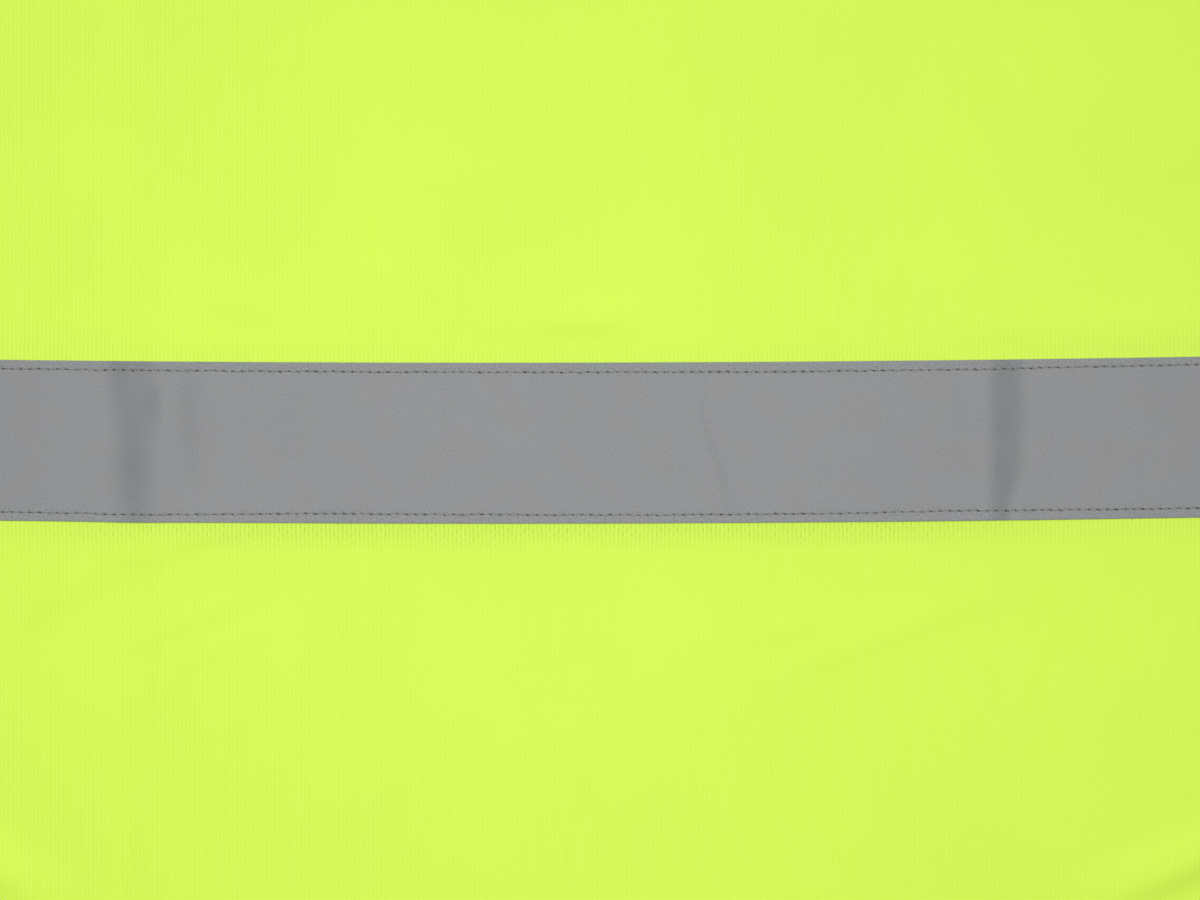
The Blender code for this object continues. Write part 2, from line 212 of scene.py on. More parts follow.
# Folds and creases of the upper layer, in mm. The first ones are in the solids too.
# x and y of one end, x and y of the other, half the width, height, how steep the far side is
mainFolds = (
    (-137, 8, -134, 655, 9, -0.7, 0.0),  # packing creases
    (137, 8, 136, 655, 6, -0.8, 0.0),
    (-272, 486, 272, 488, 9, 0.7, 0.2),  # where it was folded across
    (-262, 438, -150, 355, 16, 0.9, 0.2),  # drags below the underarms
    (258, 430, 168, 372, 14, 0.8, -0.2),
    (-250, 60, -60, 120, 20, 0.8, 0.2),  # drags above the hem
    (60, 52, 236, 132, 22, 0.7, -0.2),
    (-70, 560, 60, 578, 26, -0.6, 0.0),  # hollow under the neck
    (-262, 520, -400, 545, 15, 1.5, 0.3),  # folds along the sleeves
    (256, 560, 396, 500, 15, 1.3, -0.3),
)
smallFolds = (
    (-172, 240, -142, 266, 7, 0.80, 0.3),  # soft wrinkles below the band
    (-152, 260, -96, 275, 7, 0.65, 0.3),
    (-146, 233, -94, 254, 4.2, 0.46, 0.4),
    (-128, 227, -84, 246, 4.2, 0.40, 0.4),
    (-170, 268, -150, 286, 8, 0.25, 0.2),
    (48, 236, 92, 250, 6, 0.42, 0.0),
    (52, 223, 150, 258, 9, 0.50, 0.4),
    (131.4, 278, 131.6, 230, 2.4, 0.16, 0.0),
    (-50, 337.5, 40, 337.5, 16, 0.72, 0.6),  # and close above it
    (-14, 336.5, 30, 336.5, 9, 0.45, 0.55),
    (-128, 348, -66, 334, 14, 0.38, 0.6),
    (112, 334, 152, 334.5, 8, 0.40, 0.4),
    (136, 333, 230, 334, 9, 0.30, 0.3),
    (-76, 354, -30, 348, 7, 0.30, 0.3),
    (-8, 222, 20, 170, 8, 0.18, 0.3),
    (-60, 392, -118, 362, 8, 0.25, 0.3),
    (96, 398, 150, 360, 9, 0.25, -0.3),
    (-248, 326, -196, 376, 9, 0.9, 0.3),  # and stronger ones elsewhere
    (246, 262, 202, 220, 9, 0.9, -0.3),
    (-262, 214, -150, 150, 12, 1.3, 0.3),
    (258, 196, 150, 150, 11, 1.2, -0.3),
    (-78, 98, 20, 62, 11, 1.0, 0.3),
    (-205, 30, -90, 58, 9, 1.0, 0.3),
    (92, 44, 205, 28, 10, 0.9, 0.2),
    (-40, 140, -10, 24, 10, 0.7, -0.3),
    (-225, 462, -110, 560, 13, 1.7, 0.35),
    (226, 452, 116, 548, 13, 1.6, -0.35),
    (-218, 540, -150, 574, 9, 1.0, 0.3),
    (214, 530, 156, 566, 9, 1.0, -0.3),
    (-214, 650, -140, 560, 10, 1.2, 0.3),
    (212, 660, 138, 556, 11, 1.2, -0.3),
    (-112, 716, -150, 600, 9, 0.9, 0.3),
    (118, 712, 142, 596, 9, 0.9, -0.3),
    (-56, 616, 44, 606, 10, 0.8, 0.2),
    (-90, 500, 30, 520, 15, -0.8, 0.0),
    (40, 470, 120, 440, 12, 0.8, 0.2),
    (-40, 455, -130, 430, 12, 0.7, 0.2),
    (-290, 574, -396, 602, 10, 1.4, 0.35),
    (-286, 482, -384, 470, 9, 1.3, -0.3),
    (282, 506, 390, 466, 10, 1.4, 0.3),
    (290, 616, 396, 572, 9, 1.3, 0.35),
    (-246, 652, -350, 626, 9, 1.0, 0.3),
    (256, 476, 340, 450, 8, 0.9, 0.3),
    (250, 650, 330, 636, 8, 0.9, -0.3),
)


def foldRelief(x, y, folds, longestFade):
    total = np.zeros(np.shape(x))
    for x0, y0, x1, y1, halfWidth, height, lean in folds:
        along, away, aside, length = nearSegment(x, y, (x0, y0), (x1, y1))
        fade = min(longestFade, 0.45 * length)
        width = halfWidth * (1 + lean * np.sign(aside))
        total += height * ease(1 - away / width) * ease(np.minimum(along, 1 - along) * length / fade)
    return total


# what the tables give: how long a fold's ends may run out, in mm
# strength: round the band, then what comes on top of it further away and well away
# swell and ripple: low, soft unevenness all over, with the mm from wave to wave
unevenness = {
    "mainFade": 60, "smallFade": 40, "swellWave": 58, "rippleWave": 27,
    "main": (0.25, 1.75, 1.0), "small": (1, 1, 1.2), "swell": (0.05, 0.8, 0.5), "ripple": (0.03, 0.35, 0.25),
}


def layerGap(x, y):
    # the air between back and front, closed at the seams
    loose = shirt["looseShoulder"]
    seamStart = neckPoint * (1 - loose) + shoulder * loose
    closed = ((np.array([underarm[0], 0]), underarm), (underarm, cuffBottom), (cuffTop, shoulder),
              (shoulder, seamStart))
    inside = np.min([nearSegment(np.abs(x), y, a, b)[1] for a, b in closed], axis=0)
    fromNeck = np.hypot(np.abs(x) - neckPoint[0], y - neckPoint[1])
    free = ease(inside / shirt["loftRun"])
    air = np.maximum(shirt["loft"] * free, shirt["neckLoft"] * ease(1 - fromNeck / shirt["neckLoftRun"]))
    away, farAway = unrest(x, y, calm["folds"]), unrest(x, y, calm["strongFolds"])
    reliefs = {
        "main": foldRelief(x, y, mainFolds, unevenness["mainFade"]),
        "small": foldRelief(x, y, smallFolds, unevenness["smallFade"]),
        "swell": ripple(x, y, unevenness["swellWave"], seed=3),
        "ripple": ripple(x, y, unevenness["rippleWave"], seed=4),
    }
    folds = 0
    for kind, relief in reliefs.items():
        plain, moreAway, mostFarAway = unevenness[kind]
        folds = folds + relief * (plain + moreAway * away + mostFarAway * farAway)
    return np.maximum(shirt["gap"] + air + folds * free, shirt["gap"])


# How the tapes raise the front: mm, and shares of the lift
bandRaise = {
    "lift": 1.3,
    "middle": -4, "halfWidth": 168, "run": 60,  # where it drops off sharply below the band
    "sharp": 0.18, "sharpMiddle": 0.42, "sharpRun": 3.0,  # at the sides, and more in the middle
    "slowRun": 46, "slowRunMiddle": -18,
    "sharpAbove": 0.12, "sharpRunAbove": 2.0,
    "slowRunAbove": 50, "slowRunAside": 40, "asideFrom": -60, "asideRun": 50,  # longer at the right side
}
# where the knit gathers at the tape: height, wave length and seed of two waves, and how soon they fade
bandPucker = {"below": ((0.10, 7, 11), (0.14, 23, 12), 7), "above": ((0.07, 8, 13), (0.10, 27, 14), 8)}


def bandLift(x, height):
    # the front drops off sharply below the band's middle and slowly above it
    sizes = bandRaise
    below, above = np.maximum(bandLow - height, 0), np.maximum(height - bandHigh, 0)
    middle = ease((sizes["halfWidth"] - np.abs(x - sizes["middle"])) / sizes["run"])
    sharp = sizes["sharp"] + sizes["sharpMiddle"] * middle
    slow = 1 - ease(below / (sizes["slowRun"] + sizes["slowRunMiddle"] * middle))
    lower = sharp * np.exp(-below / sizes["sharpRun"]) + (1 - sharp) * slow
    aside = ease((sizes["asideFrom"] - x) / sizes["asideRun"])
    sharp = sizes["sharpAbove"]
    slow = 1 - ease(above / (sizes["slowRunAbove"] + sizes["slowRunAside"] * aside))
    upper = sharp * np.exp(-above / sizes["sharpRunAbove"]) + (1 - sharp) * slow
    return sizes["lift"] * np.where(height < shirt["bandHeight"], lower, upper)


def bandPuckers(x, height):
    # the knit gathers a little where the stiffer tape is sewn to it
    gathers = []
    for side, away in (("below", bandLow - height), ("above", height - bandHigh)):
        *waves, fade = bandPucker[side]
        gather = sum(size * waver(x, spacing, seed) for size, spacing, seed in waves)
        gathers.append(gather * np.exp(-np.maximum(away, 0) / fade))
    return np.where(height < shirt["bandHeight"], *gathers)


seams = {
    "sideLevel": 1.42, "sideRoll": 3.4,  # how high a seam's edge lies, and how wide it rolls over
    "armholeGroove": 0.45, "grooveWidth": 0.9, "armholeFrom": 12, "armholeRun": 14,
    "pucker": 0.09, "puckerWave": 6, "puckerFade": 6,
    "neckRidge": 0.35, "neckRidgeWidth": 7.5, "neckRidgeFrom": 1.5, "neckRidgeRun": 2.2,
    "neckGroove": 0.5, "neckGrooveWidth": 0.8, "shoulderRun": 0.08,
}


def rollOver(level, fromEdge):
    return seams["sideLevel"] + (level - seams["sideLevel"]) * quarterRound(fromEdge / seams["sideRoll"])


def frontTop(x, y, height, inset=None, below=None, share=None):
    # inset: how far in from the side seam or armhole. below: how far under the upper edge.
    wall = hemmed(shirt["wall"], shirt["hemWall"], height, shirt["hem"])
    top = bandLift(x, height) + 2 * wall + layerGap(x, y) + bandPuckers(x, height)
    if inset is None:
        return top
    onArmhole = ease((y - underarm[1] + seams["armholeFrom"]) / seams["armholeRun"])
    pucker = seams["pucker"] * waver(y, seams["puckerWave"], seed=21) * np.exp(-inset / seams["puckerFade"])
    grooved = top + pucker - seams["armholeGroove"] * np.exp(-inset / seams["grooveWidth"])
    top = rollOver(top, inset) * (1 - onArmhole) + grooved * onArmhole
    onShoulder = ease((np.abs(share) - neckShare) / seams["shoulderRun"])
    fromRidge = below - seams["neckRidgeWidth"] + seams["neckRidgeFrom"]
    ridge = seams["neckRidge"] * (1 - ease(fromRidge / seams["neckRidgeRun"]))
    ridge = ridge - seams["neckGroove"] * np.exp(-below / seams["neckGrooveWidth"])
    return rollOver(top, below) * onShoulder + (top + ridge) * (1 - onShoulder)


# Meshes

def stray(points):
    # away from the band the garment never lies quite straight
    x, y = points[:, 0].copy(), points[:, 1].copy()
    free = unrest(x, y, calm["outline"]) * cloth["stray"]
    points[:, 0] += free * ripple(x, y, cloth["strayWave"], seed=61)
    points[:, 1] += free * ripple(x, y, cloth["strayWave"], seed=62)


def addToScene(name, data):
    thing = bpy.data.objects.new(name, data)
    bpy.context.scene.collection.objects.link(thing)
    return thing


def makePiece(name, points, faces, material, uv=None, marks=None):
    mesh = bpy.data.meshes.new(name)
    points = np.array(points, float)
    stray(points)
    points[:, 1] += hemLevel
    mesh.from_pydata((points * mm).tolist(), [], [tuple(face) for face in faces])
    mesh.update()
    mesh.shade_smooth()
    mesh.set_sharp_from_angle(angle=math.radians(cloth["sharpAngle"]))
    if uv is not None:
        corners = np.empty(len(mesh.loops), int)
        mesh.loops.foreach_get("vertex_index", corners)
        layer = mesh.uv_layers.new(name="cloth")
        layer.uv.foreach_set("vector", (np.asarray(uv, np.float32) * mm)[corners].ravel())
    for mark, values in (marks or {}).items():
        layer = mesh.attributes.new(mark, "FLOAT", "POINT")
        layer.data.foreach_set("value", np.asarray(values, np.float32).ravel())
    mesh.materials.append(material)
    return addToScene(name, mesh)


def gridFaces(rows, columns, closed=False):
    across = np.arange(columns if closed else columns - 1)
    row, column = np.meshgrid(np.arange(rows - 1), across, indexing="ij")
    after = (column + 1) % columns
    a, b = row * columns + column, row * columns + after
    c, d = (row + 1) * columns + after, (row + 1) * columns + column
    return np.stack([a, b, c, d], -1).reshape(-1, 4)


def makeShell(name, material, x, y, top, bottom, uv, marks):
    # a closed sheet of cloth from a grid, with rounded edges where its rows crowd together
    rows, columns = x.shape
    count = rows * columns
    upper = np.stack([x, y, top], -1).reshape(-1, 3)
    lower = np.stack([x, y, bottom], -1).reshape(-1, 3)
    faces = gridFaces(rows, columns)
    index = np.arange(count).reshape(rows, columns)
    border = np.concatenate([index[0], index[1:, -1], index[-1, -2::-1], index[-2:0:-1, 0]])
    after = np.roll(border, -1)
    walls = np.stack([border, border + count, after + count, after], -1)
    uv = np.stack(uv, -1).reshape(-1, 2)
    marks = {mark: np.tile(values.ravel(), 2) for mark, values in marks.items()}
    faces = np.vstack([faces, faces[:, ::-1] + count, walls])
    return makePiece(name, np.vstack([upper, lower]), faces, material, np.vstack([uv, uv]), marks)


def makeTube(path, radius, sides):
    # a thread along a path, closed at both ends
    run = np.gradient(path, axis=0)
    run /= np.linalg.norm(run, axis=1, keepdims=True)
    aside = np.cross(run, np.array([0, 0, 1.0]))
    aside /= np.linalg.norm(aside, axis=1, keepdims=True)
    up = np.cross(aside, run)
    turn = (np.arange(sides) * 2 * math.pi / sides)[None, :, None]
    ring = aside[:, None] * np.cos(turn) + up[:, None] * np.sin(turn)
    points = (path[:, None] + ring * radius).reshape(-1, 3)
    faces = [tuple(face) for face in gridFaces(len(path), sides, closed=True)]
    faces += [tuple(range(sides))[::-1], tuple(len(points) - sides + k for k in range(sides))]
    return points, faces


def joinTubes(name, tubes, material):
    points, faces, count = [], [], 0
    for somePoints, someFaces in tubes:
        points.append(somePoints)
        faces += [tuple(index + count for index in face) for face in someFaces]
        count += len(somePoints)
    return makePiece(name, np.vstack(points), faces, material)


def roundOff(distance, thickness):
    # how much of a sheet's thickness is left this far from its edge
    left = cloth["edgeLeft"]
    return left + (1 - left) * quarterRound(distance / (thickness * cloth["edgeRound"]))


def spread(start, stop, step):
    # even places from start up to stop, which isn't one of them
    count = max(int(round(abs(stop - start) / step)), 1)
    return list(np.linspace(start, stop, count + 1))[:-1]


# Materials

def addNode(tree, kind, inputs=None, **settings):
    node = tree.nodes.new("ShaderNode" + kind)
    for name, value in settings.items():
        setattr(node, name, value)
    for name, value in (inputs or {}).items():
        if isinstance(value, bpy.types.NodeSocket):
            tree.links.new(value, node.inputs[name])
        else:
            node.inputs[name].default_value = value
    return node


def doMath(tree, operation, a, b=None, c=None, clamp=False):
    inputs = {0: a}
    if b is not None:
        inputs[1] = b
    if c is not None:
        inputs[2] = c
    return addNode(tree, "Math", inputs, operation=operation, use_clamp=clamp).outputs[0]


def mapRange(tree, value, low, high, toLow=0.0, toHigh=1.0):
    inputs = {"Value": value, "From Min": low, "From Max": high, "To Min": toLow, "To Max": toHigh}
    return addNode(tree, "MapRange", inputs, interpolation_type="SMOOTHSTEP").outputs["Result"]


def mixColour(tree, factor, a, b, blend="MIX"):
    node = addNode(tree, "Mix", data_type="RGBA", blend_type=blend)
    for socket, value in ((node.inputs[0], factor), (node.inputs[6], a), (node.inputs[7], b)):
        if isinstance(value, bpy.types.NodeSocket):
            tree.links.new(value, socket)
        else:
            socket.default_value = value if isinstance(value, float) else (*value, 1)
    return node.outputs[2]


def addNoise(tree, place, scale, detail=2.0, roughness=0.5):
    inputs = {"Vector": place, "Scale": scale, "Detail": detail, "Roughness": roughness}
    return addNode(tree, "TexNoise", inputs).outputs["Fac"]


def addNoises(tree, place, noises):
    # scale, detail and strength of each one
    total = 0.0
    for scale, detail, strength in noises:
        total = doMath(tree, "MULTIPLY_ADD", addNoise(tree, place, scale, detail), strength, total)
    return total


def addTones(tree, place, scale, detail, spreadOut, low, high):
    # noise between two tones, which it reaches this far from its middle
    noise = addNoise(tree, place, scale, detail)
    return mapRange(tree, noise, 0.5 - spreadOut, 0.5 + spreadOut, low, high)


def addWave(tree, value, every, size=0.5, kind="COSINE"):
    # a smooth wave round one half
    turns = doMath(tree, "MULTIPLY", value, 2 * math.pi / every)
    return doMath(tree, "MULTIPLY_ADD", doMath(tree, kind, turns), size, 0.5)


def awayFrom(tree, value, middle):
    return doMath(tree, "ABSOLUTE", doMath(tree, "SUBTRACT", value, middle))


def shade(tree, colour, tone):
    grey = addNode(tree, "CombineColor", {0: tone, 1: tone, 2: tone}).outputs[0]
    return mixColour(tree, 1.0, colour, grey, "MULTIPLY")


def readMark(tree, mark):
    return addNode(tree, "Attribute", attribute_name=mark).outputs["Fac"]


def placeOnCloth(tree):
    place = addNode(tree, "UVMap", uv_map="cloth").outputs["UV"]
    parts = addNode(tree, "SeparateXYZ", {0: place})
    return place, parts.outputs[0], parts.outputs[1]


def newMaterial(name):
    material = bpy.data.materials.new(name)
    material.use_nodes = True
    return material, material.node_tree, material.node_tree.nodes["Principled BSDF"]


def finish(tree, shader, colour, height, depth, surface):
    # surface: the shader's own values, by name
    tree.links.new(colour, shader.inputs["Base Color"])
    inputs = {"Height": height, "Distance": depth, "Strength": 1.0}
    tree.links.new(addNode(tree, "Bump", inputs).outputs["Normal"], shader.inputs["Normal"])
    for name, value in surface.items():
        shader.inputs[name].default_value = value


knit = {
    "wale": 1.32 * mm,  # from rib to rib
    "course": 2.88 * mm,  # from eyelet to eyelet in one groove
    "ribColour": (0.648, 0.900, 0.095),
    "grooveColour": (0.636, 0.888, 0.067),
    "eyeletWide": 0.28, "eyeletLong": 0.44,  # half an eyelet, in ribs and in courses
    "between": 0.07,  # how much of an eyelet's dark runs on in the groove
    "eyeletColour": (0.465, 0.701, 0.025),
    "highlightColour": (0.690, 0.945, 0.135),  # painted highlight on the yarn beside an eyelet
    "highlightAt": 0.37, "highlightWide": 0.22,  # from the groove's middle, in ribs
    "bandShadeColour": (0.522, 0.758, 0.088),  # painted shade between the eyelets, mostly along the band's edges
    "bandShade": 0.42, "bandShadePower": 0.5,  # how much of that painted shade shows there
    # noises by scale, detail and strength: how ribs and courses sway, in ribs and courses
    "waleSway": ((260.0, 1.0, 0.34), (45.0, 2.0, 0.5)),
    "courseSway": ((110.0, 3.0, 1.0), (700.0, 2.0, 0.7)),
    "fibreScale": 1700.0, "fibre": 0.5, "fibreHeight": 0.3,
    # tones by scale, detail, how far the noise is drawn out, and the two ends
    "uneven": (500.0, 3.0, 0.2, 0.65, 1.25),  # how far one eyelet gapes and another
    "standing": (420.0, 2.0, 0.15, 0.70, 1.10), "standingStretch": 0.12,
    "clouds": (22.0, 2.0, 0.2, 0.993, 1.0),
    "depth": 0.055 * mm,
    "surface": {
        "Roughness": 0.68, "Specular IOR Level": 0.25, "Sheen Weight": 0.06, "Sheen Roughness": 0.5,
    },
}


def makeKnitMaterial():
    material, tree, shader = newMaterial("birdseyeKnit")
    place, across, up = placeOnCloth(tree)
    sway = addNoises(tree, place, knit["waleSway"])
    wale = doMath(tree, "MULTIPLY_ADD", across, 1 / knit["wale"], sway)
    sway = addNoises(tree, place, knit["courseSway"])
    course = doMath(tree, "MULTIPLY_ADD", up, 1 / knit["course"], sway)
    rib = addWave(tree, wale, 1)
    # staggered eyelets: dark dashes in the grooves, half a course further on in every second one
    second = doMath(tree, "FLOORED_MODULO", doMath(tree, "FLOOR", wale), 2.0)
    shifted = doMath(tree, "FRACT", doMath(tree, "MULTIPLY_ADD", second, 0.5, course))
    fromGroove = awayFrom(tree, doMath(tree, "FRACT", wale), 0.5)
    eyelet = mapRange(tree, awayFrom(tree, shifted, 0.5), knit["eyeletLong"], 0.0)
    dark = doMath(tree, "ADD", eyelet, knit["between"])
    dark = doMath(tree, "MULTIPLY", mapRange(tree, fromGroove, knit["eyeletWide"], 0.0), dark)
    # painted highlight beside each eyelet
    highlight = mapRange(tree, awayFrom(tree, fromGroove, knit["highlightAt"]), knit["highlightWide"], 0.0)
    highlight = doMath(tree, "MULTIPLY", highlight, eyelet)
    # this mark sets how far the eyelets gape and where the painted shade along the band lies
    gapeAndShade = readMark(tree, "gapeAndShade")
    gaping = doMath(tree, "MULTIPLY", addTones(tree, place, *knit["uneven"]), gapeAndShade)
    pit = doMath(tree, "MULTIPLY", dark, gaping, clamp=True)
    fibre = addNoise(tree, place, knit["fibreScale"], 2.0, 0.6)
    # some ribs stand out more than others, in stretches
    stretch = (1.0, knit["standingStretch"], 1.0)
    stretched = addNode(tree, "Mapping", {"Vector": place, "Scale": stretch}).outputs[0]
    standing = doMath(tree, "MULTIPLY", rib, addTones(tree, stretched, *knit["standing"]))
    fibres = doMath(tree, "SUBTRACT", fibre, 0.5)
    ribShare = doMath(tree, "MULTIPLY_ADD", fibres, knit["fibre"], standing, clamp=True)
    colour = mixColour(tree, ribShare, knit["grooveColour"], knit["ribColour"])
    # painted shade along the band's edges, following the gape-and-shade mark
    bandShading = doMath(tree, "MULTIPLY", doMath(tree, "POWER", gapeAndShade, knit["bandShadePower"]), knit["bandShade"])
    colour = mixColour(tree, bandShading, colour, knit["bandShadeColour"])
    # painted highlight, strongest where the eyelets gape
    highlight = doMath(tree, "MULTIPLY", highlight, gaping, clamp=True)
    colour = mixColour(tree, highlight, colour, knit["highlightColour"])
    colour = mixColour(tree, pit, colour, knit["eyeletColour"])
    colour = shade(tree, colour, addTones(tree, place, *knit["clouds"]))
    height = doMath(tree, "MULTIPLY_ADD", fibre, knit["fibreHeight"], rib)
    height = doMath(tree, "MULTIPLY_ADD", pit, -1.0, height)
    finish(tree, shader, colour, height, knit["depth"], knit["surface"])
    return material


ribKnit = {
    "colour": (0.640, 0.880, 0.085), "groove": (0.560, 0.790, 0.050),
    "wale": 2.4, "loop": 0.9,  # mm
    "loopHeight": 0.15, "fibreHeight": 0.4, "depth": 0.12 * mm,
    "surface": {"Roughness": 0.82, "Specular IOR Level": 0.25, "Sheen Weight": 0.06},
}


def makeRibMaterial():
    material, tree, shader = newMaterial("ribKnit")
    place, across, up = placeOnCloth(tree)
    rib = addWave(tree, across, ribKnit["wale"] * mm)
    loops = addWave(tree, up, ribKnit["loop"] * mm, ribKnit["loopHeight"], "SINE")
    fibre = addNoise(tree, place, knit["fibreScale"], 2.0, 0.6)
    colour = mixColour(tree, rib, ribKnit["groove"], ribKnit["colour"])
    height = doMath(tree, "ADD", loops, doMath(tree, "MULTIPLY", fibre, ribKnit["fibreHeight"]))
    finish(tree, shader, colour, height, ribKnit["depth"], ribKnit["surface"])
    return material


reflective = {
    "cool": (0.233, 0.250, 0.254),  # faint mottling between a greener and a redder grey
    "warm": (0.244, 0.244, 0.251),
    "creaseShade": (0.176, 0.190, 0.193),  # painted shade along the packing creases
    # painted shade in the needle holes
    "hole": (0.020, 0.018, 0.016),
    "mottle": (75.0, 3.0, 0.15, 0.0, 1.0), "beadScale": 2300.0, "beads": (0.84, 1.16),
    "puckerScale": 1300.0,
    "pucker": 0.11, "puckerHeight": 0.8,  # how much painted glint and shade, and how much height, the puckered margins get
    "roughness": 0.47, "beadRoughness": 0.2,
    "depth": 0.03 * mm,
    "surface": {"Specular IOR Level": 0.3},
}


def makeTapeMaterial():
    material, tree, shader = newMaterial("reflectiveTape")
    place = placeOnCloth(tree)[0]
    mottle = addTones(tree, place, *reflective["mottle"])
    colour = mixColour(tree, mottle, reflective["cool"], reflective["warm"])
    # painted shade along the packing creases
    colour = mixColour(tree, readMark(tree, "creaseShade"), colour, reflective["creaseShade"])
    grain = addNoise(tree, place, reflective["beadScale"], 2.0, 0.7)
    beads = mapRange(tree, grain, 0.25, 0.75, *reflective["beads"])
    # painted glints and shade on the puckered margins, besides their real bump
    pucker = addNoise(tree, place, reflective["puckerScale"], 2.0, 0.6)
    pucker = doMath(tree, "MULTIPLY", mapRange(tree, pucker, 0.3, 0.7, -1.0, 1.0), readMark(tree, "puckerAndGlint"))
    colour = shade(tree, colour, doMath(tree, "MULTIPLY_ADD", pucker, reflective["pucker"], beads))
    # painted shade in the needle holes
    colour = mixColour(tree, mapRange(tree, readMark(tree, "hole"), 0.15, 0.75), colour, reflective["hole"])
    rough = doMath(tree, "MULTIPLY_ADD", grain, reflective["beadRoughness"], reflective["roughness"])
    tree.links.new(rough, shader.inputs["Roughness"])
    height = doMath(tree, "MULTIPLY_ADD", pucker, reflective["puckerHeight"], grain)
    finish(tree, shader, colour, height, reflective["depth"], reflective["surface"])
    return material


thread = {
    "tapeColour": (0.262, 0.234, 0.208), "tapeShade": (0.192, 0.168, 0.150),
    "knitColour": (0.62, 0.86, 0.09), "knitShade": (0.52, 0.75, 0.06),
    "plyScale": 900.0, "plyUneven": 1.0, "depth": 0.03 * mm,
    "surface": {"Roughness": 0.6},
}


def makeThreadMaterial(name, colour, dark):
    material, tree, shader = newMaterial(name)
    place = addNode(tree, "TexCoord").outputs["Object"]
    inputs = {"Vector": place, "Scale": thread["plyScale"], "Distortion": thread["plyUneven"]}
    ply = addNode(tree, "TexWave", inputs, bands_direction="DIAGONAL").outputs["Fac"]
    finish(tree, shader, mixColour(tree, ply, dark, colour), ply, thread["depth"], thread["surface"])
    return material


knitMaterial = makeKnitMaterial()
ribMaterial = makeRibMaterial()
tapeMaterial = makeTapeMaterial()
tapeThreadMaterial = makeThreadMaterial("greyBrownThread", thread["tapeColour"], thread["tapeShade"])
knitThreadMaterial = makeThreadMaterial("yellowThread", thread["knitColour"], thread["knitShade"])
print("materials made")

# Front panel

frontPanelSizes = {
    "fineStep": 2.6, "coarseStep": 5.0,  # mm between grid lines, close round the band and elsewhere
    "fineHalf": 200, "coarseHalf": 274, "fineFrom": 155, "fineTo": 440,
    "underTape": 0.2, "tuckStart": 0.2, "tuckRun": 1.0,  # how far the cloth lies back under the tape
    "hemEdge": 3,  # this far up, the hem's rounded edge is taken off its upper side too
}
# how far the eyelets gape, and where painted shade lies: a little all over, most in a strip under the band,
# some above it
gapeAndShadeSizes = {
    "plain": 0.06, "plainWave": 30, "onBack": 0.1,
    "below": 0.84, "full": 2.4, "reach": 6.4, "reachUneven": 1.5, "reachWave": 25,
    "middle": -5, "halfWidth": 168, "run": 70, "atSides": 0.35,
    "above": 0.28, "reachAbove": 7, "reachAside": 8, "asideFrom": 118, "asideRun": 25, "aside": 1.1,
}


def eyeletGapeAndShade(x, height):
    sizes = gapeAndShadeSizes
    below, above = bandLow - height, height - bandHigh
    middle = ease((sizes["halfWidth"] - np.abs(x - sizes["middle"])) / sizes["run"])
    middle = sizes["atSides"] + (1 - sizes["atSides"]) * middle
    reach = sizes["reach"] + sizes["reachUneven"] * waver(x, sizes["reachWave"], seed=31)
    low = np.where(below > -1, 1 - ease((below - sizes["full"]) / reach), 0) * middle * sizes["below"]
    aside = ease((np.abs(x) - sizes["asideFrom"]) / sizes["asideRun"])
    reach = sizes["reachAbove"] + sizes["reachAside"] * aside
    high = np.where(above > -1, 1 - ease(above / reach), 0) * sizes["above"]
    high = high * np.maximum(middle, sizes["aside"] * aside)
    plain = sizes["plain"] * (1 + ripple(x, height, sizes["plainWave"], seed=32))
    return np.clip(low + high + plain, 0, 1)


def frontColumns():
    sizes = frontPanelSizes
    places = spread(0, sizes["fineHalf"], sizes["fineStep"])
    places += spread(sizes["fineHalf"], sizes["coarseHalf"], sizes["coarseStep"])
    places += [halfChest - d for d in (5, 3.4, 2.4, 1.5, 0.9, 0.5, 0.2, 0.05, 0)]
    shares = np.array(places) / halfChest
    return np.concatenate([-shares[:0:-1], shares])


def frontRows():
    # heights up to the underarm, then how far up the yoke each row lies
    fine, coarse = frontPanelSizes["fineStep"], frontPanelSizes["coarseStep"]
    fineFrom, fineTo = frontPanelSizes["fineFrom"], frontPanelSizes["fineTo"]
    heights = [0, 0.06, 0.25, 0.6, 1.2, 2.5] + spread(5, 17.5, 4)
    heights += [17.5, 18.6, 19, 19.4, 20.6, 22.6, 23, 23.4, 24.2, 24.8, 25.4, 26.2, 28]
    heights += spread(31, fineFrom, coarse) + spread(fineFrom, bandLow - 6, fine)
    heights += [bandLow - d for d in (6, 4.4, 3.1, 2.1, 1.3, 0.7, 0.3, 0, -0.5, -1.2)]
    heights += [bandLow + d for d in (3, 9, 17, 25, 33, 41, 47)]
    heights += [bandHigh + d for d in (-1.2, -0.5, 0, 0.3, 0.7, 1.3, 2.1, 3.1, 4.4)]
    heights += spread(bandHigh + 6, fineTo, fine) + spread(fineTo, underarm[1], coarse)
    heights += [underarm[1]]
    rises = spread(coarse, yoke - 10, coarse)
    rises += [yoke - d for d in (10, 8.2, 7.2, 6.2, 5.2, 3.6, 2.4, 1.5, 0.9, 0.5, 0.2, 0.05, 0)]
    return panelRows(heights, rises)


def panelRows(heights, rises):
    shares = [0.0] * len(heights) + [rise / yoke for rise in rises]
    return np.array(heights + [underarm[1]] * len(rises)), np.array(shares)


def panelGrid(side, share, rows):
    # each point's place, share, height and rise, and how far it is in from the side and under the top
    height, rise = rows[0][:, None] + 0 * share, rows[1][:, None] + 0 * share
    share = share + 0 * height
    x, y = panelPlace(side, share, height, rise)
    inset = (1 - np.abs(share)) * halfChest
    below = np.where(rise > 0, (1 - rise) * yoke, farBelow)
    return x, y, share, height, rise, inset, below


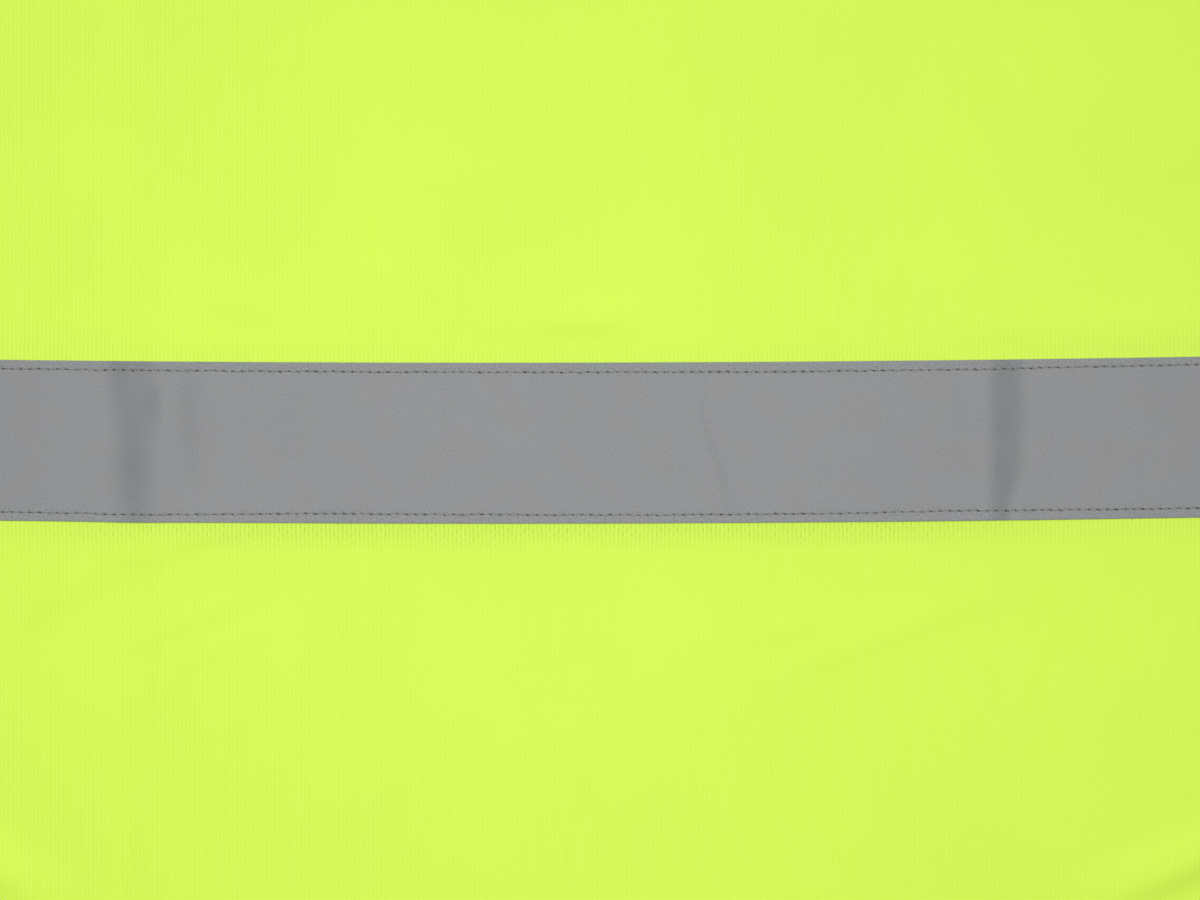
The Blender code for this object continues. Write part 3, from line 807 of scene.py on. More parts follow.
def makeFrontPanel():
    sizes = frontPanelSizes
    x, y, share, height, rise, inset, below = panelGrid("front", frontColumns(), frontRows())
    top = frontTop(x, y, height, inset, below, share)
    start, run = sizes["tuckStart"], sizes["tuckRun"]
    tucked = ease((height - bandLow - start) / run) * ease((bandHigh - start - height) / run)
    top = top - sizes["underTape"] * tucked
    thickness = hemmed(cloth["thickness"], cloth["hemThickness"], height, shirt["hem"])
    left = thickness * roundOff(np.minimum(np.minimum(inset, below), height), thickness)
    top = top - (thickness - left) / 2 * (height < sizes["hemEdge"])
    return makeShell("frontPanel", knitMaterial, x, y, top, top - left,
                     (x, np.where(rise > 0, y, height)), {"gapeAndShade": eyeletGapeAndShade(x, height)})


frontPanel = makeFrontPanel()
print("front panel made")

# Reflective tape across the front, sewn down with two rows of lockstitch

tapeSizes = {
    "thickness": 0.34, "stitch": 2.86, "threadRadius": 0.10,
    "inFromEdge": 2.75,  # the rows of stitches, on average
    "sunk": 0.01, "sunkRun": 0.6, "sunkBack": 1.6,  # how far a row pulls the tape down, and the back's more
    "holeDepth": 0.12, "holeRadius": 0.225, "holeSizes": (0.8, 1.3), "besideHole": 0.8,
    "jog": 0.09,  # from the start of a stitch to its middle, across the row
    "uneven": 0.09, "unsteady": 0.12,  # how much a stitch's length differs, and a hole's place off its row
    "rowRun": 4, "rowFlat": 0.6,  # how soon the grid leaves a row of stitches
    "blendFrom": 6,  # in from each edge; between the two rows it changes from one's holes to the other's
    "puckerRun": 1.7, "rowPucker": 0.7, "rowPuckerRun": 0.8,
    "flare": 0.05, "flareRun": 2.4, "wavyEdge": 0.03, "wavyEdgeRun": 3, "wavyEdgeWave": 9,
    "clear": 0.02, "backThread": 0.13,  # over the cloth, and the back's stitches over the floor
}
# how far each row wanders in or out, in mm, from the right side seam to the left one
sewingWander = {
    "low": (0.1, 0.25, -0.1, -0.3, 0.2, 0.0, -0.2, -0.1, 0.35, 0.2, -0.15, 0.1),
    "high": (-0.1, -0.2, 0.0, 0.1, 0.1, 0.2, 0.3, 0.35, 0.2, -0.2, -0.35, -0.1),
}


def rowWander(row, share):
    knots = np.array(sewingWander[row])
    place = np.clip((share + 1) / 2, 0, 0.9999) * (len(knots) - 1)
    low = np.floor(place).astype(int)
    blend = ease(place - low)
    return knots[low] * (1 - blend) + knots[low + 1] * blend


def sewRow(seed):
    # where the needle went in, as shares of the half width, and how far off its row: uneven stitches
    random = np.random.default_rng(seed)
    count = int(round(2 * bodyHalfWidth(shirt["bandHeight"]) / tapeSizes["stitch"]))
    steps = 1 + tapeSizes["uneven"] * random.uniform(-1, 1, count)
    places = np.concatenate([[0], np.cumsum(steps)])
    return places / places[-1] * 2 - 1, tapeSizes["unsteady"] * random.uniform(-1, 1, count + 1)


# Painted shade along the packing creases of the tape. x in mm; up and down are shares of its width from
# either edge.
# lines: x and mm up of one end, of the other, width and strength
creaseShadeSizes = {
    "bar": 0.47, "barLost": 0.35, "barLostFrom": 0.75,  # right side: a soft bar, weaker at its lower end
    "barLeft": -147.2, "barLean": 2.6, "barLeanTo": 0.45, "barSoft": 6.5,
    "barRight": -125.6, "softRight": 5.4, "barLostRun": 0.25,
    "crispFrom": (0.10, 0.08), "crispTo": (0.34, 0.12), "crispLean": 0.4, "crisper": 4.5,  # crisp for a while
    "core": ((-139.5, 50, -135.4, 28, 3.2, 0.26), (-129.6, 39, -134.6, 29, 2.8, 0.26)),  # forked
    "stem": (-135.4, 28, -134.2, -2, 3.2, 0.42), "stemLost": 0.12, "stemLostFrom": 0.7, "stemLostRun": 0.3,
    "second": 0.71, "secondFrom": 129.2, "secondTo": 144.4, "secondSoft": 5.5,  # left side: a straighter bar
    "narrower": 4.5, "narrowFrom": 0.6,
    "middle": (137.4, 2.2, 2.6, 0.13), "tail": (142.8, 2.5, 0.16),
    "ghost": (-117.4, 2.0, 3.5, 0.30),  # a faint bent bar beside the first one
    "ghostBend": 0.6, "ghostEnd": 1.25, "ghostRun": 0.5,
    "faint": ((42.9, 45, 42.0, 33, 1.3, 0.14), (42.0, 33, 49.8, 10, 1.1, 0.30)),
    "faintest": (120.6, 44, 122.8, 14, 1.2, 0.09), "cloudy": 0.08, "cloudWave": 17,
    "patchy": ((0.12, 6, 36), (0.08, 2.2, 37)),  # strength, wave length and seed
}


def hump(distance, width):
    return np.exp(-(distance / width) ** 2)


def creaseShadeLine(x, up, line):
    x0, up0, x1, up1, width, strength = line
    return strength * hump(nearSegment(x, up * shirt["tapeWidth"], (x0, up0), (x1, up1))[1], width)


def rightCreaseShade(x, up, down):
    sizes = creaseShadeSizes
    left = sizes["barLeft"] + sizes["barLean"] * ease(down / sizes["barLeanTo"])
    (start, startRun), (end, endRun) = sizes["crispFrom"], sizes["crispTo"]
    crisp = ease((down - start) / startRun) * (1 - ease((down - end) / endRun))
    right = sizes["barRight"] - sizes["crispLean"] * crisp
    softRight = sizes["softRight"] - sizes["crisper"] * crisp
    bar = ease((x - left) / sizes["barSoft"]) * ease((right - x) / softRight)
    lost = sizes["barLost"] * ease((down - sizes["barLostFrom"]) / sizes["barLostRun"])
    bar = bar * sizes["bar"] * (1 - lost)
    fork = np.maximum(*[creaseShadeLine(x, up, line) for line in sizes["core"]])
    *stem, strength = sizes["stem"]
    strength = strength - sizes["stemLost"] * ease((down - sizes["stemLostFrom"]) / sizes["stemLostRun"])
    return bar + np.maximum(fork, creaseShadeLine(x, up, (*stem, strength)))


def leftCreaseShade(x, down):
    sizes = creaseShadeSizes
    low = ease((down - sizes["narrowFrom"]) / (1 - sizes["narrowFrom"]))
    right = sizes["secondTo"] - sizes["narrower"] * low
    soft = sizes["secondSoft"]
    bar = sizes["second"] * ease((x - sizes["secondFrom"]) / soft) * ease((right - x) / soft)
    at, lean, width, strength = sizes["middle"]
    bar = bar + strength * hump(x - at + lean * down, width)
    at, width, strength = sizes["tail"]
    return bar + strength * low * hump(x - at, width)


# painted crease shade, with a little random cloudiness and patchiness
def tapeCreaseShade(x, up):
    sizes, down, height = creaseShadeSizes, 1 - up, up * shirt["tapeWidth"]
    at, lean, width, strength = sizes["ghost"]
    bend = sizes["ghostBend"]
    ghost = strength * hump(x - at - lean * np.abs(up - bend), width)
    ghost = ghost * ease(up / bend) * ease((sizes["ghostEnd"] - up) / sizes["ghostRun"])
    faint = np.maximum(*[creaseShadeLine(x, up, line) for line in sizes["faint"]])
    faint = faint + creaseShadeLine(x, up, sizes["faintest"])
    faint = faint + sizes["cloudy"] * ripple(x, height, sizes["cloudWave"], seed=38)
    patchy = 1 + sum(size * ripple(x, height, wave, seed) for size, wave, seed in sizes["patchy"])
    return np.clip((rightCreaseShade(x, up, down) + leftCreaseShade(x, down) + ghost + faint) * patchy, 0, 1)


def tapeColumns(stitches):
    # four columns to a stitch: at the hole, just beside it and half way
    parts = (-0.13, 0.0, 0.13, 0.5)
    rows = []
    for holes in [row[0] for row in stitches]:
        steps = np.diff(holes)
        places = [holes[0]]
        for hole, step, before in zip(holes[:-1], steps, np.concatenate([[0], steps[:-1]])):
            for part in parts:
                places.append(hole + part * (before if part < 0 else step))
        rows.append(np.array(places[3:] + [holes[-1]]))
        rows[-1][0] = -1
    return rows


def tapeGrid(stitches):
    # columns at the stitches and rows close about them: how far up the tape each row lies when plain,
    # how far up each point lies, and its share of the half width
    width, inner = shirt["tapeWidth"], tapeSizes["inFromEdge"]
    lowX, highX = tapeColumns(stitches)
    column = np.arange(len(lowX))
    # the holes lie slantwise: higher where a stitch ends, lower where the next one starts
    slant = 1.0 * (column % 4 == 2) - (column % 4 == 0)
    jog = tapeSizes["jog"] * slant * (column > 0) * (column < column[-1])
    half = [0, 0.05, 0.2, 0.5, 1.1, 1.8] + [inner + d for d in (-0.5, -0.22, 0, 0.22, 0.5)]
    half += [4.2, 6, 9, 13, 17, 21]
    ups = np.array(half + [width / 2] + [width - v for v in reversed(half)])
    up = ups[:, None] + 0 * lowX
    start = tapeSizes["blendFrom"]
    blend = ease((up - start) / (width - 2 * start))
    share = lowX * (1 - blend) + highX * blend
    # the rows of stitches wander, and take the grid with them
    for row, fromEdge, sign in (("low", up, 1), ("high", width - up, -1)):
        outward = fromEdge - inner - tapeSizes["rowFlat"]
        weight = np.where(fromEdge < inner, fromEdge / inner, 1 - ease(outward / tapeSizes["rowRun"]))
        weight = np.where(fromEdge < width / 2, weight, 0)
        offset = np.interp(share, *stitches[row == "high"])
        up = up + weight * (sign * rowWander(row, share) + offset + jog)
    return ups, up, share


def needleHoles(fromStitch, seed):
    # every fourth column is at a hole, and no two holes are quite the same size
    count = fromStitch.shape[1]
    holeSizes = np.random.default_rng(seed).uniform(*tapeSizes["holeSizes"], count)
    isHole = (np.arange(count) % 4 == 3) * holeSizes
    hole = isHole + tapeSizes["besideHole"] * (np.roll(isHole, 1) + np.roll(isHole, -1))
    return hole[None, :] * hump(fromStitch, tapeSizes["holeRadius"])


def makeTape(name, side, seeds):
    sizes, width, inner = tapeSizes, shirt["tapeWidth"], tapeSizes["inFromEdge"]
    stitches = [sewRow(seed) for seed in seeds[:2]]
    ups, up, share = tapeGrid(stitches)
    height = bandLow + up
    x, y = share * bodyHalfWidth(height), bodyLevel(share, height)
    inset = (1 - np.abs(share)) * halfChest
    fromStitch = np.minimum(np.abs(ups - inner), np.abs(width - ups - inner))[:, None] + 0 * x
    hole = needleHoles(fromStitch, seeds[2])
    sunk = sizes["sunk"] * hump(fromStitch, sizes["sunkRun"]) + sizes["holeDepth"] * hole
    # the margins outside the rows are finely puckered, most of all along the rows; the same mark paints
    # glints and shade there
    fromMargin = np.minimum(ups, width - ups)[:, None] + 0 * x - inner
    puckerAndGlint = 1 - ease(fromMargin / sizes["puckerRun"])
    puckerAndGlint = puckerAndGlint + sizes["rowPucker"] * hump(fromStitch, sizes["rowPuckerRun"])
    margin = np.minimum(up, width - up)
    wavy = sizes["wavyEdge"] * waver(x, sizes["wavyEdgeWave"], seeds[3])
    flare = sizes["flare"] * (1 - ease(margin / sizes["flareRun"]))
    flare = flare + wavy * (1 - ease(margin / sizes["wavyEdgeRun"]))
    thickness = sizes["thickness"]
    left = thickness * roundOff(np.minimum(margin, inset), thickness)
    lost = (thickness - left) / 2
    if side == "front":
        base = frontTop(x, y, np.clip(height, bandLow, bandHigh), inset, farBelow + 0 * x, share)
        top = base + sizes["clear"] + thickness + flare - sunk - lost
        # painted shade along the packing creases, on the front tape only
        creaseShade = tapeCreaseShade(x, up / width)
    else:
        top = sunk * sizes["sunkBack"] + lost + left
        creaseShade = 0 * x
    marks = {"creaseShade": creaseShade, "hole": hole, "puckerAndGlint": puckerAndGlint}
    return makeShell(name, tapeMaterial, x, y, top, top - left, (x, up), marks), stitches


# One lockstitch, hole to hole: where its points lie along it, how high, and how far across the row
lockstitch = {
    "parts": (0, 0.07, 0.16, 0.3, 0.5, 0.7, 0.84, 0.93),
    "rises": (-0.60, -0.28, 0.0, 0.06, 0.07, 0.06, 0.0, -0.28),
    "slants": (0, 0.9, 1.0, 0.6, 0, -0.6, -1.0, -0.9),  # in jogs
    "loose": 0.3, "seeds": {"low": 3, "high": 4},  # how much looser one stitch is than the next
    "toSeam": 0.994,  # clear of the side seams, in half widths
    "sides": 6,
}


def stitchPath(stitches, row, level, facing):
    # the thread goes down at each needle hole and lies across the tape in between
    parts = np.array(lockstitch["parts"])
    holes, offsets = stitches
    steps = np.diff(holes)
    share = (holes[:-1, None] + steps[:, None] * parts).ravel()
    rise = np.tile(lockstitch["rises"], len(steps))
    slant = np.tile(np.array(lockstitch["slants"]) * tapeSizes["jog"], len(steps))
    random = np.random.default_rng(lockstitch["seeds"][row])
    loose = 1 + lockstitch["loose"] * np.repeat(random.uniform(-1, 1, len(steps)), len(parts))
    inner = tapeSizes["inFromEdge"] + rowWander(row, share)
    up = inner if row == "low" else shirt["tapeWidth"] - inner
    height = bandLow + up + np.interp(share, holes, offsets) - slant * loose
    x, y = share * bodyHalfWidth(height), bodyLevel(share, height)
    z = level(x, y, height, share) + facing * np.where(rise > 0, rise * loose, rise)
    return np.stack([x, y, z], -1)[np.abs(share) < lockstitch["toSeam"]]


def frontStitchLevel(x, y, height, share):
    inset = (1 - np.abs(share)) * halfChest
    base = frontTop(x, y, height, inset, farBelow + 0 * x, share)
    return base + tapeSizes["clear"] + tapeSizes["thickness"] - tapeSizes["sunk"]


def backStitchLevel(x, y, height, share):
    return 0 * x + tapeSizes["threadRadius"] + tapeSizes["backThread"]


def makeTapeThread(name, stitches, level, facing):
    tubes = []
    for holes, row in zip(stitches, ("low", "high")):
        path = stitchPath(holes, row, level, facing)
        tubes.append(makeTube(path, tapeSizes["threadRadius"], lockstitch["sides"]))
    return joinTubes(name, tubes, tapeThreadMaterial)


# seeds: the lower row, the upper row, the holes and the edges
tapeFront, frontStitches = makeTape("tapeFront", "front", (41, 42, 71, 46))
tapeBack, backStitches = makeTape("tapeBack", "back", (43, 44, 73, 48))
tapeThreadFront = makeTapeThread("tapeThreadFront", frontStitches, frontStitchLevel, 1)
tapeThreadBack = makeTapeThread("tapeThreadBack", backStitches, backStitchLevel, -1)
print("tapes and their stitches made")

# Back panel, underneath

backPanelSizes = {"step": 8.0, "tapeRun": 5.0, "overTape": 0.05}
edgeSteps = (6, 3, 1.5, 0.7, 0.3, 0.1, 0)  # mm from its edges


def backUnder(height):
    # the band lies between the back panel and what the garment lies on
    lift = tapeSizes["thickness"] + backPanelSizes["overTape"]
    return lift * (1 - ease(outsideBand(height) / backPanelSizes["tapeRun"]))


def makeBackPanel():
    step = backPanelSizes["step"]
    places = spread(0, halfChest - edgeSteps[0], step) + [halfChest - d for d in edgeSteps]
    share = np.array(places) / halfChest
    share = np.concatenate([-share[:0:-1], share])
    heights = [0, 0.1, 0.4, 1, 3, 8, 16, 22, 24.2, 25.4, 27, 32] + spread(40, bandLow - 8, step)
    heights += [bandLow + d for d in (-7, -5, -3, -1, 0, 3, 12, 25, 38, 47, 50, 51, 53, 55, 57)]
    heights += spread(bandHigh + 12, underarm[1], step) + [underarm[1]]
    rises = spread(step, yoke - edgeSteps[0], step) + [yoke - d for d in edgeSteps]
    x, y, share, height, rise, inset, below = panelGrid("back", share, panelRows(heights, rises))
    thickness = hemmed(cloth["thickness"], cloth["hemThickness"], height, shirt["hem"])
    left = thickness * roundOff(np.minimum(np.minimum(inset, below), height), thickness)
    under = backUnder(height) + (thickness - left) / 2
    return makeShell("backPanel", knitMaterial, x, y, under + left, under,
                     (x, np.where(rise > 0, y, height)), {"gapeAndShade": gapeAndShadeSizes["onBack"] + 0 * x})


backPanel = makeBackPanel()
print("back panel made")

# Sleeves: flattened tubes with turned hems

sleeveSizes = {
    "along": 4.0, "acrossCount": 44, "crowding": 0.35,  # mm, points, and how far they crowd to the edges
    "seamRidge": 0.5, "seamRidgeWidth": 8.0, "seamRidgeFrom": 2, "seamRidgeRun": 2.6,
    "seamGroove": 0.75, "seamGrooveWidth": 0.9, "pucker": 0.10, "puckerWave": 6, "puckerFade": 6,
    "foldCount": 9, "knitWidth": 215, "lowFold": 1.5,  # mm of knit from fold to fold, and in the lower fold
    "knitStart": 700,  # where the sleeve starts along the knit
}


def sleevePlace(side, share, station):
    # station: 0 at the armhole and 1 at the cuff
    share = np.asarray(share, float)
    start = armhole(side, share) + normalOf(armhole, side, share, 1) * shirt["gap"]
    end = cuffBottom * (1 - share[..., None]) + cuffTop * share[..., None]
    return start * (1 - station) + end * station


def sleeveWall(station, plain, turned):
    return hemmed(plain, turned, (1 - station) * shirt["sleeveLength"], shirt["cuffHem"])


def sleeveTop(x, y, station):
    # the upper layer's outer face
    sizes = sleeveSizes
    fromArmhole = station * shirt["sleeveLength"]
    top = 2 * sleeveWall(station, shirt["wall"], shirt["hemWall"]) + layerGap(x, y)
    fromRidge = fromArmhole - sizes["seamRidgeWidth"] + sizes["seamRidgeFrom"]
    ridge = sizes["seamRidge"] * (1 - ease(fromRidge / sizes["seamRidgeRun"]))
    pucker = sizes["pucker"] * waver(y, sizes["puckerWave"], 51)
    pucker = pucker * np.exp(-fromArmhole / sizes["puckerFade"])
    groove = sizes["seamGroove"] * np.exp(-fromArmhole / sizes["seamGrooveWidth"])
    return top + ridge + pucker - groove


def sleeveLoop(station, sign):
    # the outer and inner outline at one station, right round the flattened tube
    count, length = sleeveSizes["acrossCount"], shirt["sleeveLength"]
    even, crowding = np.linspace(0, 1, count), sleeveSizes["crowding"]
    shares = ease(even) * crowding + even * (1 - crowding)
    upper, lower = sleevePlace("front", shares, station), sleevePlace("back", shares, station)
    thickness = float(sleeveWall(station, cloth["thickness"], cloth["hemThickness"]))
    fromEdge = min((1 - station) * length, station * length)
    left = thickness * float(roundOff(fromEdge, thickness))
    lost = (thickness - left) / 2
    turns = np.radians(np.linspace(0, 180, sleeveSizes["foldCount"]))
    top = sleeveTop(sign * upper[:, 0], upper[:, 1], station)
    outer, inner, around = [], [], []

    def fold(edge, nextIn, level, knitWidth, order):
        # where the cloth turns over from one layer to the other
        inward = (nextIn - edge) / np.linalg.norm(nextIn - edge)
        radius = level / 2
        for turn in order:
            for loop, reach in ((outer, radius - lost), (inner, radius - lost - left)):
                place = edge + inward * radius - inward * (reach * math.sin(turn))
                loop.append((*place, radius + reach * math.cos(turn)))
            around.append(math.cos(turn) * knitWidth)

    for k in range(1, count - 1):
        outer.append((*upper[k], top[k] - lost))
        inner.append((*upper[k], top[k] - lost - left))
        around.append(shares[k] * sleeveSizes["knitWidth"])
    fold(upper[-1], upper[-2], top[-1], sleeveSizes["knitWidth"], turns)
    for k in range(count - 2, 0, -1):
        outer.append((*lower[k], lost))
        inner.append((*lower[k], lost + left))
        around.append(-shares[k] * sleeveSizes["knitWidth"])
    fold(upper[0], upper[1], top[0], sleeveSizes["lowFold"], turns[::-1])
    return np.array(outer), np.array(inner), np.array(around)


def makeSleeve(name, sign):
    length = shirt["sleeveLength"]
    runs = [0, 0.06, 0.25, 0.6, 1.1, 2, 3.4, 5, 6.4, 7.6, 8.8, 10.5]
    runs += spread(14, length - 24, sleeveSizes["along"])
    runs += [length - d for d in (24, 22, 21, 20.4, 19.8, 19, 18, 16.5, 15.5, 14.5)]
    runs += [length - d for d in (11, 7, 3.5, 1.6, 0.8, 0.35, 0.1, 0)]
    stations = np.array(runs) / length
    outer, inner, around = zip(*[sleeveLoop(station, sign) for station in stations])
    size = len(outer[0])
    around = around + around[::-1]
    along = np.concatenate([stations, stations[::-1]]) * length
    points = np.vstack(outer + inner[::-1])
    points[:, 0] *= sign
    count = 2 * len(stations)
    faces = gridFaces(count + 1, size, closed=True) % (count * size)
    if sign > 0:
        faces = faces[:, ::-1]
    uv = np.stack([np.concatenate(around) * sign, np.repeat(along, size) + sleeveSizes["knitStart"]], -1)
    marks = {"gapeAndShade": np.full(len(points), gapeAndShadeSizes["onBack"])}
    return makePiece(name, points, faces, knitMaterial, uv, marks)


sleeveLeft = makeSleeve("sleeveLeft", 1)
sleeveRight = makeSleeve("sleeveRight", -1)
print("sleeves made")

# Neck rib: a ring of rib knit folded double, standing up at its two side folds

neckRibSizes = {
    "frontSamples": 250, "backSamples": 160, "turnSamples": 9,
    "relief": 0.13, "reliefStart": 2.0, "reliefEnd": 0.8, "reliefRun": 3,
    "turnFrom": 0.6,  # from this share of the half neckline on it turns to the side fold
    "underside": 30,  # where the underside starts in the knit, in mm
}
# one section: mm across its width, then the thickness as a share of half of it
ribSection = ((0, 0.45), (0.7, 0.8), (2.5, 1), (7, 1), (13, 1), (17.5, 1), (19.3, 0.75))


def ribHalf(side, count):
    width, rise = shirt["ribWidth"], shirt["ribRise"]
    share = np.linspace(0, 1, count)
    edge = neckline(side, share)
    intoNeck = normalOf(neckline, side, share, -1)
    intoNeck[0] = (0, 1)
    foldWay = np.array([-math.sqrt(width**2 - rise**2), rise]) / width
    turnFrom = neckRibSizes["turnFrom"]
    blend = ease((share - turnFrom) / (1 - turnFrom))[:, None]
    widthWay = intoNeck * (1 - blend) + foldWay * blend
    widthWay /= np.linalg.norm(widthWay, axis=1, keepdims=True)
    return edge + intoNeck * shirt["gap"], widthWay, edge


def ribRows():
    # round one half, from the front's middle to the back's: where each section starts, which way its
    # width runs, its height, and which way its face looks, across and up
    sizes = neckRibSizes
    lowMiddle = shirt["ribThickness"] / 2
    seam, way, edge = ribHalf("front", sizes["frontSamples"])
    middle = shirt["wall"] * 1.5 + layerGap(edge[:, 0], edge[:, 1])
    rows = [(s, w, m, np.zeros(2), 1.0) for s, w, m in zip(seam, way, middle)]
    outward = np.array([way[-1][1], -way[-1][0]])
    radius = (middle[-1] - lowMiddle) / 2
    for turn in np.radians(np.linspace(0, 180, sizes["turnSamples"] + 2))[1:-1]:
        start = seam[-1] + outward * radius * math.sin(turn)
        level = lowMiddle + radius * (1 + math.cos(turn))
        rows.append((start, way[-1], level, outward * math.sin(turn), math.cos(turn)))
    backSeam, backWay = ribHalf("back", sizes["backSamples"])[:2]
    return rows + [(s, w, lowMiddle, np.zeros(2), -1.0) for s, w in zip(backSeam[::-1], backWay[::-1])]


def makeNeckRib():
    sizes, rows = neckRibSizes, ribRows()
    starts = np.array([row[0] for row in rows])
    along = np.concatenate([[0], np.cumsum(np.linalg.norm(np.diff(starts, axis=0), axis=1))])
    section = [*ribSection, (shirt["ribWidth"], 0)] + [(out, -thick) for out, thick in ribSection[::-1]]
    points, uv = [], []
    for (start, widthWay, level, faceWay, faceUp), s in zip(rows, along):
        wave = sizes["relief"] * math.cos(2 * math.pi * s / ribKnit["wale"])
        for out, thick in section:
            inPlay = ease(out / sizes["reliefStart"])
            inPlay = inPlay * ease((shirt["ribWidth"] + sizes["reliefEnd"] - out) / sizes["reliefRun"])
            away = thick * (shirt["ribThickness"] / 2 - sizes["relief"] + wave * inPlay)
            place = start + widthWay * out + faceWay * away
            points.append((*place, level + faceUp * away))
            uv.append((s, out + (sizes["underside"] if thick < 0 else 0)))
    half, size = len(rows), len(section)
    points, uv = np.array(points).reshape(half, size, 3), np.array(uv).reshape(half, size, 2)
    mirrored = points[1:-1][::-1] * np.array([-1, 1, 1])
    points = np.vstack([points, mirrored]).reshape(-1, 3)
    uv = np.vstack([uv, uv[1:-1][::-1]]).reshape(-1, 2)
    faces = gridFaces(len(points) // size + 1, size, closed=True) % len(points)
    return makePiece("neckRib", points, faces, ribMaterial, uv)


neckRib = makeNeckRib()
print("neck rib made")

# Cover stitch round the neck, on the hems and on the cuffs: twin rows of yellow thread

coverStitch = {
    "stitch": 3.0, "radius": 0.15, "sides": 5,
    "neckRows": (2.2, 6.2), "hemRows": (19.0, 23.0), "cuffRows": (15.5, 19.0),  # mm in from the edge
    "overBack": 0.04,
    "parts": (0, 0.12, 0.3, 0.5, 0.7, 0.88), "rises": (-0.16, 0.02, 0.09, 0.11, 0.09, 0.02),  # of one stitch
    "neckEnd": 0.985, "hemEnd": 0.99, "cuffEnds": (0.016, 0.984),  # clear of the seams
}


def dippedTube(place, level):
    # place: points of the row in the plane. The thread dips at every stitch.
    steps = np.linalg.norm(np.diff(place, axis=0), axis=1)
    along = np.concatenate([[0], np.cumsum(steps)])
    count = int(along[-1] / coverStitch["stitch"])
    at = (np.arange(count)[:, None] + np.array(coverStitch["parts"])).ravel() * along[-1] / count
    x, y = np.interp(at, along, place[:, 0]), np.interp(at, along, place[:, 1])
    z = level(x, y) + np.tile(coverStitch["rises"], count)
    return makeTube(np.stack([x, y, z], -1), coverStitch["radius"], coverStitch["sides"])


def makeNeckThread():
    levels = {
        "front": lambda x, y: frontTop(x, y, np.minimum(y, underarm[1])) + seams["neckRidge"],
        "back": lambda x, y: 0 * x + cloth["thickness"] + coverStitch["overBack"],
    }
    tubes = []
    share = np.linspace(0, coverStitch["neckEnd"], 120)
    for row in coverStitch["neckRows"]:
        for side, level in levels.items():
            half = neckline(side, share) - normalOf(neckline, side, share, -1) * row
            whole = np.vstack([half[:0:-1] * np.array([-1, 1]), half])
            tubes.append(dippedTube(whole, level))
    return joinTubes("neckThread", tubes, knitThreadMaterial)


def makeHemThread():
    tubes = []
    for row in coverStitch["hemRows"]:
        x = np.linspace(-coverStitch["hemEnd"], coverStitch["hemEnd"], 200) * bodyHalfWidth(row)
        tubes.append(dippedTube(np.stack([x, 0 * x + row], -1), lambda x, y: frontTop(x, y, y)))
    return joinTubes("hemThread", tubes, knitThreadMaterial)


def makeCuffThread(name, sign):
    tubes = []
    for row in coverStitch["cuffRows"]:
        station = 1 - row / shirt["sleeveLength"]
        place = sleevePlace("front", np.linspace(*coverStitch["cuffEnds"], 60), station)
        place[:, 0] *= sign
        tubes.append(dippedTube(place, lambda x, y: sleeveTop(x, y, station)))
    return joinTubes(name, tubes, knitThreadMaterial)


neckThread = makeNeckThread()
hemThread = makeHemThread()
cuffThreadLeft = makeCuffThread("cuffThreadLeft", 1)
cuffThreadRight = makeCuffThread("cuffThreadRight", -1)
print("cover stitches made")

# What each piece stands for

parts = (
    (frontPanel, "front_panel", "knit"),
    (backPanel, "back_panel", "knit"),
    (sleeveLeft, "sleeve_left", "knit"),
    (sleeveRight, "sleeve_right", "knit"),
    (neckRib, "neck_rib", "rib_knit"),
    (tapeFront, "tape_front", "reflective_tape"),
    (tapeBack, "tape_back", "reflective_tape"),
    (tapeThreadFront, None, "reflective_tape"),
    (tapeThreadBack, None, "reflective_tape"),
    (neckThread, None, "knit"),
    (hemThread, None, "knit"),
    (cuffThreadLeft, None, "knit"),
    (cuffThreadRight, None, "knit"),
)
for piece, node, slot in parts:
    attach(piece, "root")
    if node:
        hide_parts(node)

# Floor, light and camera

studio = {
    "floorColour": (0.86, 0.86, 0.85), "floorTones": (3.0, 2.0, 0.2, 0.985, 1.0),
    "floorRoughness": 0.9, "floorReach": 30, "floorLevel": -0.0002,  # metres
    "sky": 0.34, "horizon": 0.65, "horizonRun": 0.3,  # brightness overhead and at eye level
    # low over the band, so that the light falls off a little to both sides: metres and watts
    "softbox": {"place": (-0.03, -0.08, 0.58), "size": (0.40, 0.36), "power": 1.34},
    # from the neck's side, so that slopes towards the hem are darker: degrees from overhead
    "sun": {"tilt": 26, "turn": 8, "softness": 30, "strength": 1.42},
}


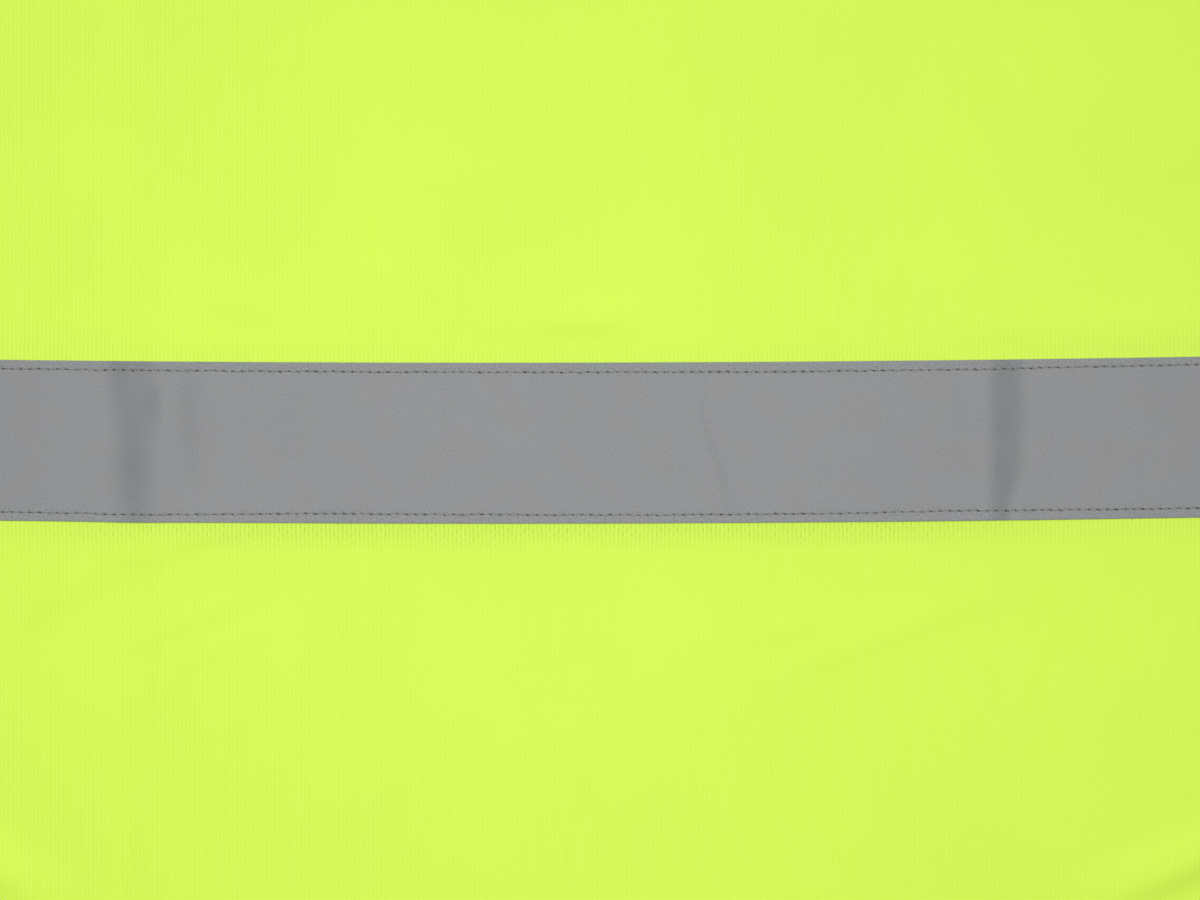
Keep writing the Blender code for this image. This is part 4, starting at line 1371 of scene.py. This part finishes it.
def makeFloor():
    mesh = bpy.data.meshes.new("floor")
    reach, level = studio["floorReach"], studio["floorLevel"]
    turns = np.linspace(0, 2 * math.pi, 97)[:-1]
    ring = [(reach * math.cos(turn), reach * math.sin(turn), level) for turn in turns]
    mesh.from_pydata(ring, [], [tuple(range(len(ring)))])
    material, tree, shader = newMaterial("paleFloor")
    place = addNode(tree, "TexCoord").outputs["Object"]
    tone = addTones(tree, place, *studio["floorTones"])
    tree.links.new(shade(tree, studio["floorColour"], tone), shader.inputs["Base Color"])
    shader.inputs["Roughness"].default_value = studio["floorRoughness"]
    mesh.materials.append(material)
    addToScene("floor", mesh)


def addSoftbox():
    box = studio["softbox"]
    data = bpy.data.lights.new("softbox", "AREA")
    data.shape = "RECTANGLE"
    data.size, data.size_y = box["size"]
    data.energy = box["power"]
    light = addToScene("softbox", data)
    light.location = box["place"]
    light.visible_camera = False


def addSun():
    sun = studio["sun"]
    data = bpy.data.lights.new("sun", "SUN")
    data.energy = sun["strength"]
    data.angle = math.radians(sun["softness"])
    light = addToScene("sun", data)
    light.rotation_euler = (-math.radians(sun["tilt"]), math.radians(sun["turn"]), 0)
    light.location = (0, 0, 3)


def makeWorld():
    world = bpy.data.worlds.new("studio")
    world.use_nodes = True
    tree = world.node_tree
    up = addNode(tree, "SeparateXYZ", {0: addNode(tree, "TexCoord").outputs["Generated"]}).outputs[2]
    strength = mapRange(tree, up, 0.0, studio["horizonRun"], studio["horizon"], studio["sky"])
    background = tree.nodes["Background"]
    background.inputs["Color"].default_value = (1, 1, 1, 1)
    tree.links.new(strength, background.inputs["Strength"])
    bpy.context.scene.world = world


# straight above the band, close enough to show 373 mm of it
closeUp = {"middle": (10.3, 297.85), "level": 6.0, "width": 372.9, "lens": 100.0, "sensor": 36.0}


def addCamera():
    data = bpy.data.cameras.new("camera")
    data.lens, data.sensor_width = closeUp["lens"], closeUp["sensor"]
    camera = addToScene("camera", data)
    x, y = closeUp["middle"]
    height = closeUp["level"] + closeUp["width"] * closeUp["lens"] / closeUp["sensor"]
    camera.location = (x * mm, (y + hemLevel) * mm, height * mm)
    bpy.context.scene.camera = camera


makeFloor()
addSoftbox()
addSun()
makeWorld()
addCamera()
bpy.context.scene.view_settings.view_transform = "Standard"
print("studio made")
